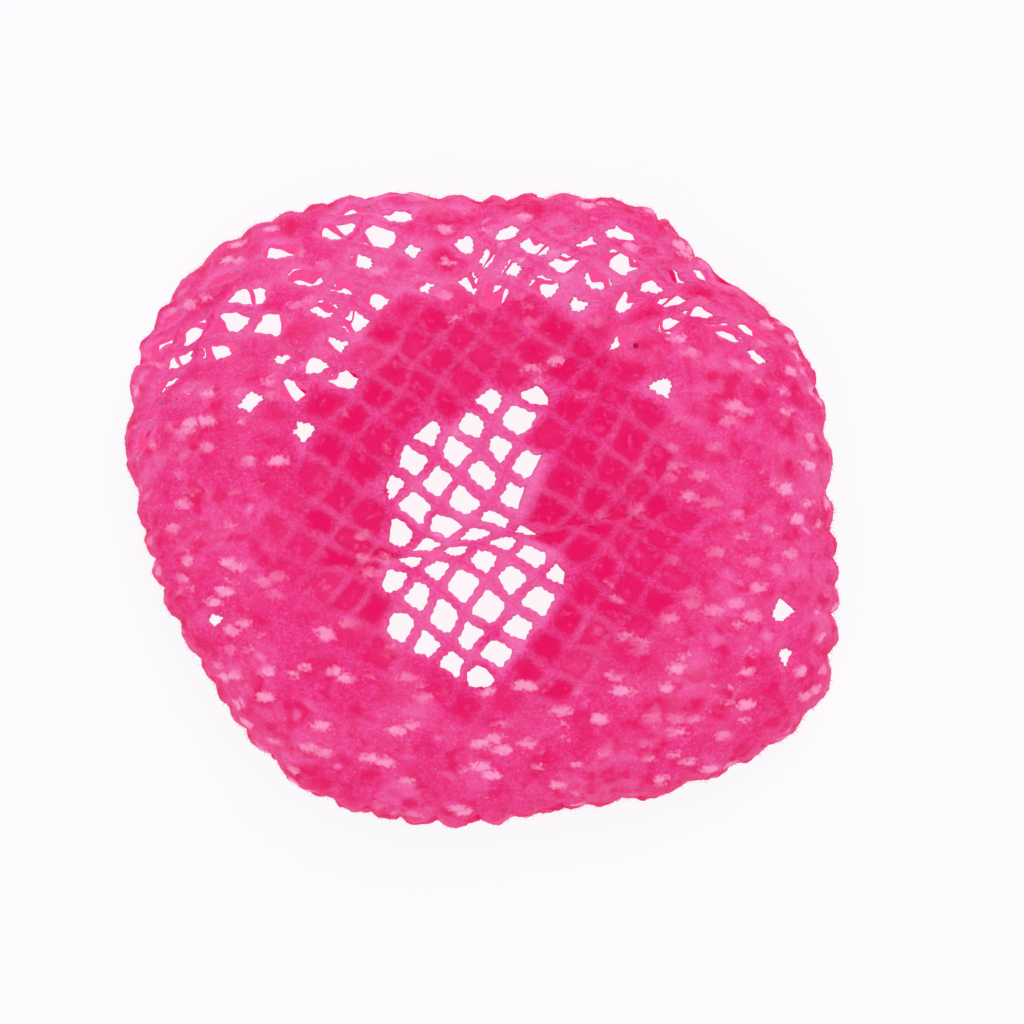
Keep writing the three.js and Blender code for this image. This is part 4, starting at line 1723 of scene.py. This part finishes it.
def yarn_group() -> bpy.types.NodeTree:
    """The yarn's surface: chain stitches along each strand, fine fibres and uneven dye, with painted shade, painted
    light and a painted glow.

    Returns:
        The node group, made once.
    """
    made = bpy.data.node_groups.get("yarn_surface")
    if made:
        return made
    group = GroupBuilder("yarn_surface")
    for name in ("Strand", "Place", "Speck"):
        group.socket(name, "NodeSocketVector", "INPUT")
    for name in ("Density", "Felt"):
        group.socket(name, "NodeSocketFloat", "INPUT")
    for name in ("Deep And Shade", "Body", "Bloom And Light", "Lit Fleck", "Glow", "Inner Glow"):
        group.socket(name, "NodeSocketColor", "INPUT")
    group.socket("Color", "NodeSocketColor", "OUTPUT")
    group.socket("Emission", "NodeSocketColor", "OUTPUT")
    group.socket("Roughness", "NodeSocketFloat", "OUTPUT")
    group.socket("Height", "NodeSocketFloat", "OUTPUT")
    strand = group.start.outputs["Strand"]
    place = group.start.outputs["Place"]
    split = group.tree.nodes.new("ShaderNodeSeparateXYZ")
    group.feed(strand, split.inputs["Vector"])
    across = group.math("SINE", group.math("MULTIPLY", split.outputs["Y"], 2 * math.pi))
    phase = group.math("ADD", split.outputs["X"], group.math("MULTIPLY", across, 0.6))
    ridge = group.math("COSINE", group.math("MULTIPLY", phase, 2 * math.pi))
    ridge = group.ramp(ridge, -1.0, 1.0)
    along = group.math("ABSOLUTE", group.math("COSINE", group.math("MULTIPLY", split.outputs["Y"], 2 * math.pi)))
    groove = group.math("POWER", along, 10.0)
    felt = group.start.outputs["Felt"]
    bare = group.math("SUBTRACT", 1.0, felt)
    stitch = group.math("MULTIPLY", ridge, group.math("SUBTRACT", 1.0, group.math("MULTIPLY", groove, 0.55)))
    stitch = group.math("MULTIPLY", stitch, bare)
    fibre = group.noise(group.stretch(strand, (5.0, 46.0, 1.0)), 1.0, 3.0)
    fibre = group.math("MULTIPLY", fibre, bare)
    fluff = group.noise(place, 2600.0, 2.0)
    slub = group.noise(place, 1050.0, 3.0)
    height = group.math("ADD", stitch, group.math("MULTIPLY", fibre, 0.45))
    height = group.math("ADD", height, group.math("MULTIPLY", fluff, 0.5))
    height = group.math("ADD", height, group.math("MULTIPLY", slub, 0.8))
    # Painted shade: the grooves between stitches take the deep colour.
    spun = group.math("ADD", group.math("MULTIPLY", stitch, 0.55), group.math("MULTIPLY", fibre, 0.7))
    shade = group.math("ADD", spun, group.math("MULTIPLY", felt, slub))
    colour = group.mix(group.ramp(shade, 0.1, 0.75), group.start.outputs["Deep And Shade"], group.start.outputs["Body"])
    dye = group.noise(place, 95.0, 2.0)
    light = group.math("MULTIPLY", group.ramp(dye, 0.42, 0.72), 0.25)
    light = group.math("ADD", light, group.math("MULTIPLY", group.ramp(fluff, 0.5, 0.8), 0.4))
    blotch = group.noise(place, 290.0, 2.0)
    dark = group.math("MULTIPLY", group.math("MULTIPLY", group.ramp(blotch, 0.50, 0.66), 0.85), felt)
    ragged = group.math("MULTIPLY", group.noise(place, 1500.0, 2.0), 0.5)
    # Painted light: small pale flecks, for the floor's light through thin fluff.
    lit_fleck = group.math("ADD", group.spots(group.stretch(place, (0.75, 1.35, 1.0)), 250.0), ragged)
    crop = group.ramp(group.noise(place, 75.0, 1.0), 0.30, 0.50)
    stray = group.math("MAXIMUM", felt, group.ramp(group.noise(place, 120.0, 1.0), 0.56, 0.64))
    pale = group.math("MULTIPLY", group.math("MULTIPLY", group.ramp(lit_fleck, 0.60, 0.41), crop), stray)
    mottle = group.ramp(group.noise(place, 640.0, 2.0), 0.17, 0.45)
    density = group.start.outputs["Density"]
    colour = group.mix(light, colour, group.start.outputs["Bloom And Light"])
    colour = group.mix(dark, colour, group.start.outputs["Deep And Shade"])
    # Painted shade and random tone: a high density paints the yarn in the deep colour.
    dense = group.math("MULTIPLY", group.math("MAXIMUM", density, 0.0), mottle)
    colour = group.mix(group.math("MINIMUM", dense, 1.0), colour, group.start.outputs["Deep And Shade"])
    colour = group.mix(pale, colour, group.start.outputs["Lit Fleck"])
    seen = group.stretch(place, (1.0, 1.0, 0.0))
    far = group.node("ShaderNodeVectorMath", {0: seen, 1: group.start.outputs["Speck"]}, operation="DISTANCE")
    colour = group.mix(group.ramp(far.outputs["Value"], 0.0005, 0.0003), colour, (0.01, 0.0, 0.005, 1.0))
    # Painted light: below a density of -1, inside the bag, the glow turns a brighter pink.
    inside = group.ramp(density, -1.0, -2.0)
    glow = group.mix(inside, group.start.outputs["Glow"], group.start.outputs["Inner Glow"])
    # Painted light: a density below 0 paints the yarn outside the bag lighter.
    thin = group.math("MAXIMUM", group.math("MULTIPLY", density, -1.0), 0.0)
    painted_light_share = group.math("MULTIPLY", thin, group.math("SUBTRACT", 1.0, inside))
    colour = group.mix(painted_light_share, colour, group.start.outputs["Bloom And Light"])
    group.feed(colour, group.end.inputs["Color"])
    # The glow is painted light, given to the shader as emission.
    group.feed(glow, group.end.inputs["Emission"])
    group.feed(group.math("ADD", 0.72, group.math("MULTIPLY", fibre, 0.25)), group.end.inputs["Roughness"])
    group.feed(height, group.end.inputs["Height"])
    return group.tree


NET_YARN = YarnFinish(
    name="net_yarn",
    deep=(0.54, 0.002, 0.075, 1.0),
    body=(0.64, 0.062, 0.32, 1.0),
    bloom_and_light=(0.70, 0.32, 0.68, 1.0),
    lit_fleck=(0.74, 0.40, 0.66, 1.0),
)
ELASTIC_COVER = YarnFinish(
    name="elastic_cover",
    deep=(0.60, 0.008, 0.09, 1.0),
    body=(0.74, 0.022, 0.155, 1.0),
    bloom_and_light=(0.82, 0.08, 0.26, 1.0),
    lit_fleck=(0.82, 0.08, 0.26, 1.0),
    relief=0.00008,
)


@dataclass(frozen=True)
class Fluff:
    """Loose fibres that stand off the yarn, scattered over the outside of the net by geometry nodes.

    Args:
        per_area: Fibres on each square metre where the net is felted over.
        bare_share: The share of that where it isn't.
        clearance: Height over the table below which none grow, in metres.
        length: Length of a fibre, in metres.
        thickness: Its radius at the foot, in metres.
        bend: How far it leans over, as a share of its length.
        lie: How far the fibres lie down at random, in radians.
        bag_middle: A place inside the bag, from which the outside faces away, in metres.
        seed: The seed of their places.
    """

    per_area: float = 1.15e6
    bare_share: float = 0.08
    clearance: float = 0.0013
    length: float = 0.0007
    thickness: float = 0.00003
    bend: float = 0.5
    lie: float = 1.1
    bag_middle: tuple[float, float, float] = (0.0, 0.0, 0.006)
    seed: int = 5

    def fibre(self, group: TreeBuilder) -> bpy.types.NodeSocket:
        """Adds the nodes that make one fibre, a thin three-sided spike that leans over.

        Args:
            group: The tree.

        Returns:
            The fibre's mesh.
        """
        length = group.start.outputs["Length"]
        cone = group.node(
            "GeometryNodeMeshCone",
            {"Vertices": 3, "Side Segments": 2, "Radius Top": 0.0, "Radius Bottom": group.start.outputs["Thickness"],
             "Depth": length},
        )
        place = group.node("GeometryNodeInputPosition", {}).outputs[0]
        split = group.node("ShaderNodeSeparateXYZ", {0: place})
        along = group.math("DIVIDE", split.outputs["Z"], length)
        lean = group.math("MULTIPLY", split.outputs["Z"], group.math("MULTIPLY", along, group.start.outputs["Bend"]))
        aside = group.node("ShaderNodeCombineXYZ", {"Y": lean}).outputs[0]
        leaning = group.node("GeometryNodeSetPosition", {"Geometry": cone.outputs["Mesh"], "Offset": aside})
        across = group.math("DIVIDE", split.outputs["X"], length)
        flat = group.node("ShaderNodeCombineXYZ", {"X": along, "Y": across}).outputs[0]
        mapped = group.node(
            "GeometryNodeStoreNamedAttribute",
            {"Geometry": leaning.outputs[0], "Name": "strand", "Value": flat},
            data_type="FLOAT2",
            domain="CORNER",
        )
        return mapped.outputs[0]

    def tree(self) -> bpy.types.NodeTree:
        """The tree that scatters fibres over a mesh and gives back the fibres alone.

        Returns:
            The tree, made once.
        """
        made = bpy.data.node_groups.get("yarn_fluff")
        if made:
            return made
        group = TreeBuilder("yarn_fluff")
        group.socket("Net", "NodeSocketGeometry", "INPUT")
        for name in ("Fibres per Area", "Bare Share", "Length", "Thickness", "Bend", "Lie", "Clearance"):
            group.socket(name, "NodeSocketFloat", "INPUT")
        group.socket("Bag Middle", "NodeSocketVector", "INPUT")
        group.socket("Seed", "NodeSocketInt", "INPUT")
        group.socket("Finish", "NodeSocketMaterial", "INPUT")
        group.socket("Fibres", "NodeSocketGeometry", "OUTPUT")
        given = group.start.outputs
        place = group.node("GeometryNodeInputPosition", {}).outputs[0]
        facing = group.node("GeometryNodeInputNormal", {}).outputs[0]
        away = group.node("ShaderNodeVectorMath", {0: place, 1: given["Bag Middle"]}, operation="SUBTRACT")
        outward = group.node("ShaderNodeVectorMath", {0: facing, 1: away.outputs[0]}, operation="DOT_PRODUCT")
        outside = group.math("GREATER_THAN", outward.outputs["Value"], 0.0)
        height = group.node("ShaderNodeSeparateXYZ", {0: place}).outputs["Z"]
        outside = group.math("MULTIPLY", outside, group.math("GREATER_THAN", height, given["Clearance"]))
        felt = group.node("GeometryNodeInputNamedAttribute", {"Name": "felt"}, data_type="FLOAT").outputs[0]
        matted = group.math("MULTIPLY", felt, group.math("SUBTRACT", 1.0, given["Bare Share"]))
        share = group.math("ADD", given["Bare Share"], matted)
        many = group.math("MULTIPLY", given["Fibres per Area"], share)
        feet = group.node(
            "GeometryNodeDistributePointsOnFaces",
            {"Mesh": given["Net"], "Selection": outside, "Density": many, "Seed": given["Seed"]},
        )
        least = group.node("ShaderNodeCombineXYZ", {"X": group.math("MULTIPLY", given["Lie"], -1.0)}).outputs[0]
        most = group.node("ShaderNodeCombineXYZ", {"X": given["Lie"], "Z": 2 * math.pi}).outputs[0]
        drawn = group.node(
            "FunctionNodeRandomValue", {0: least, 1: most, "Seed": given["Seed"]}, data_type="FLOAT_VECTOR"
        )
        turn = group.node("FunctionNodeEulerToRotation", {0: drawn.outputs[0]}).outputs[0]
        turned = group.node(
            "FunctionNodeRotateRotation", {0: feet.outputs["Rotation"], 1: turn}, rotation_space="LOCAL"
        )
        size = group.node("FunctionNodeRandomValue", {2: 0.45, 3: 1.2, "Seed": given["Seed"]}, data_type="FLOAT")
        stood = group.node(
            "GeometryNodeInstanceOnPoints",
            {"Points": feet.outputs["Points"], "Instance": self.fibre(group), "Rotation": turned.outputs[0],
             "Scale": size.outputs[1]},
        )
        real = group.node("GeometryNodeRealizeInstances", {"Geometry": stood.outputs[0]})
        finished = group.node("GeometryNodeSetMaterial", {"Geometry": real.outputs[0], "Material": given["Finish"]})
        group.feed(finished.outputs[0], group.end.inputs["Fibres"])
        return group.tree

    def build(self, net: bpy.types.Object, material: bpy.types.Material) -> bpy.types.Object:
        """Grows the fibres on one piece of the net.

        Args:
            net: The piece.
            material: The fibres' finish.

        Returns:
            The fibres, as a plain mesh.
        """
        piece = bpy.data.objects.new(f"{net.name}_fluff", net.data)
        bpy.context.scene.collection.objects.link(piece)
        grown = piece.modifiers.new("fluff", "NODES")
        grown.node_group = self.tree()
        sizes = {
            "Fibres per Area": self.per_area,
            "Bare Share": self.bare_share,
            "Clearance": self.clearance,
            "Length": self.length,
            "Thickness": self.thickness,
            "Bend": self.bend,
            "Lie": self.lie,
            "Bag Middle": self.bag_middle,
            "Seed": self.seed,
            "Finish": material,
        }
        for item in grown.node_group.interface.items_tree:
            if item.name in sizes:
                grown[item.identifier] = sizes[item.name]
        graph = bpy.context.evaluated_depsgraph_get()
        mesh = bpy.data.meshes.new_from_object(
            piece.evaluated_get(graph), preserve_all_data_layers=True, depsgraph=graph
        )
        piece.modifiers.remove(grown)
        piece.data = mesh
        mesh.name = piece.name
        return piece


@dataclass
class ElasticCord:
    """The covered elastic inside the hem.

    Args:
        form: The bag's form, which gives its route.
        radius: Half its diameter, in millimetres.
        sections: Sections round the loop.
        sides: Sides of a section.
        braid_pitch: Length of one turn of its braid, in millimetres.
    """

    form: BagForm
    radius: float = 1.0
    sections: int = 288
    sides: int = 14
    braid_pitch: float = 2.2

    def build(self) -> bpy.types.Object:
        """Builds the loop as a closed tube, with a map along and round it.

        Returns:
            The piece.
        """
        bearings = np.arange(self.sections) * 360.0 / self.sections
        middle = self.form.elastic(bearings)
        inward = self.form.towards_mouth(bearings)
        turn = np.arange(self.sides) * 2 * math.pi / self.sides
        ring = middle[:, None, :] + inward[:, None, :] * (self.radius * np.cos(turn))[None, :, None]
        ring[..., 2] += self.radius * np.sin(turn)
        here = np.arange(self.sections * self.sides).reshape(self.sections, self.sides)
        beside = np.roll(here, -1, axis=1)
        ahead = np.roll(here, -1, axis=0)
        across = np.roll(ahead, -1, axis=1)
        faces = np.stack([here, beside, across, ahead], axis=-1).reshape(-1, 4)
        mesh = bpy.data.meshes.new("elastic_cord")
        mesh.from_pydata((ring.reshape(-1, 3) * MM).tolist(), [], faces.tolist())
        length = np.linalg.norm(np.roll(middle, -1, axis=0) - middle, axis=1).sum()
        turns = round(length / self.braid_pitch)
        k = np.arange(self.sections)[:, None] + np.zeros((1, self.sides))
        s = np.arange(self.sides)[None, :] + np.zeros((self.sections, 1))
        u = np.stack([k, k, k + 1, k + 1], axis=-1) * turns / self.sections
        v = np.stack([s, s + 1, s + 1, s], axis=-1) / self.sides * 2
        layer = mesh.uv_layers.new(name="strand")
        layer.data.foreach_set("uv", np.stack([u, v], axis=-1).ravel())
        piece = bpy.data.objects.new("elastic_cord", mesh)
        bpy.context.scene.collection.objects.link(piece)
        mesh.polygons.foreach_set("use_smooth", np.ones(len(faces), bool))
        return piece


@dataclass
class Studio:
    """The pale floor, the soft lights and the camera straight above.

    Args:
        view_centre: The middle of the view on the floor, in metres.
        view_width: Width of the view at the belly, in metres.
        focus_height: Height of the belly, in metres.
        lens: Focal length, in millimetres.
        sensor: Sensor width, in millimetres.
    """

    view_centre: tuple[float, float] = (0.0042, -0.0004)
    view_width: float = 0.1536
    focus_height: float = 0.009
    lens: float = 200.0
    sensor: float = 36.0

    def camera(self) -> None:
        """Makes the camera, which looks straight down with +Y at the top."""
        data = bpy.data.cameras.new("camera")
        data.lens = self.lens
        data.sensor_width = self.sensor
        data.clip_start = 0.01
        data.clip_end = 20.0
        camera = bpy.data.objects.new("camera", data)
        distance = self.view_width * self.lens / self.sensor
        camera.location = (*self.view_centre, self.focus_height + distance)
        bpy.context.scene.collection.objects.link(camera)
        bpy.context.scene.camera = camera

    def floor(self) -> None:
        """Makes the floor, a wide plane that isn't part of the object."""
        half = 3.0
        mesh = bpy.data.meshes.new("floor")
        corners = [(-half, -half, 0), (half, -half, 0), (half, half, 0), (-half, half, 0)]
        mesh.from_pydata(corners, [], [(0, 1, 2, 3)])
        floor = bpy.data.objects.new("floor", mesh)
        bpy.context.scene.collection.objects.link(floor)
        paper = bpy.data.materials.new("pale_floor")
        paper.use_nodes = True
        shader = paper.node_tree.nodes["Principled BSDF"]
        shader.inputs["Base Color"].default_value = (0.11, 0.11, 0.11, 1.0)
        shader.inputs["Roughness"].default_value = 0.9
        shader.inputs["Specular IOR Level"].default_value = 0.1
        shader.inputs["Emission Color"].default_value = (0.97, 0.98, 1.0, 1.0)
        shader.inputs["Emission Strength"].default_value = 0.9
        mesh.materials.append(paper)

    def area_light(self, name: str, place: Vector, size: float, watts: float) -> None:
        """Makes a square area light aimed at the object.

        Args:
            name: Its name.
            place: Where it stands, in metres.
            size: Its width, in metres.
            watts: Its power.
        """
        data = bpy.data.lights.new(name, "AREA")
        data.size = size
        data.energy = watts
        light = bpy.data.objects.new(name, data)
        light.location = place
        light.rotation_mode = "QUATERNION"
        light.rotation_quaternion = (-place).to_track_quat("-Z", "Y")
        bpy.context.scene.collection.objects.link(light)

    def light(self) -> None:
        """Makes the soft sky, the main light from the top of the view and a weak fill."""
        world = bpy.data.worlds.new("soft_sky")
        world.use_nodes = True
        world.node_tree.nodes["Background"].inputs["Color"].default_value = (1.0, 1.0, 1.0, 1.0)
        world.node_tree.nodes["Background"].inputs["Strength"].default_value = 0.50
        bpy.context.scene.world = world
        self.area_light("main", Vector((0.25, 0.75, 1.1)), 0.7, 5.6)
        self.area_light("fill", Vector((-0.4, -0.8, 0.9)), 0.8, 2.9)

    def build(self) -> None:
        """Makes the whole studio."""
        self.camera()
        self.floor()
        self.light()
        bpy.context.scene.view_settings.view_transform = "Standard"


def dress(piece: bpy.types.Object, material: bpy.types.Material, node: str) -> None:
    """Gives a piece its finish and joins it to the frame.

    Args:
        piece: The piece.
        material: Its finish.
        node: The solid that it stands for.
    """
    piece.data.materials.clear()
    piece.data.materials.append(material)
    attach(piece, BODY)
    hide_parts(node)
    LOG.info("%s: %d triangles", piece.name, sum(len(face.vertices) - 2 for face in piece.data.polygons))


def main() -> None:
    """Builds the cover, piece by piece, and its studio."""
    logging.basicConfig(level=logging.INFO, format="%(name)s: %(message)s")
    Studio().build()
    form = BagForm()
    yarn = NET_YARN.material()
    outside = {Zone.CROWN.piece, Zone.SHOULDER.piece, Zone.ROLL.piece}
    for piece in KnittedNet(form).build():
        if piece.name in outside:
            dress(Fluff().build(piece, yarn), yarn, BAG_NODE)
        dress(piece, yarn, BAG_NODE)
    dress(ElasticCord(form).build(), ELASTIC_COVER.material(), ELASTIC_NODE)


if __name__ == "__main__":
    main()
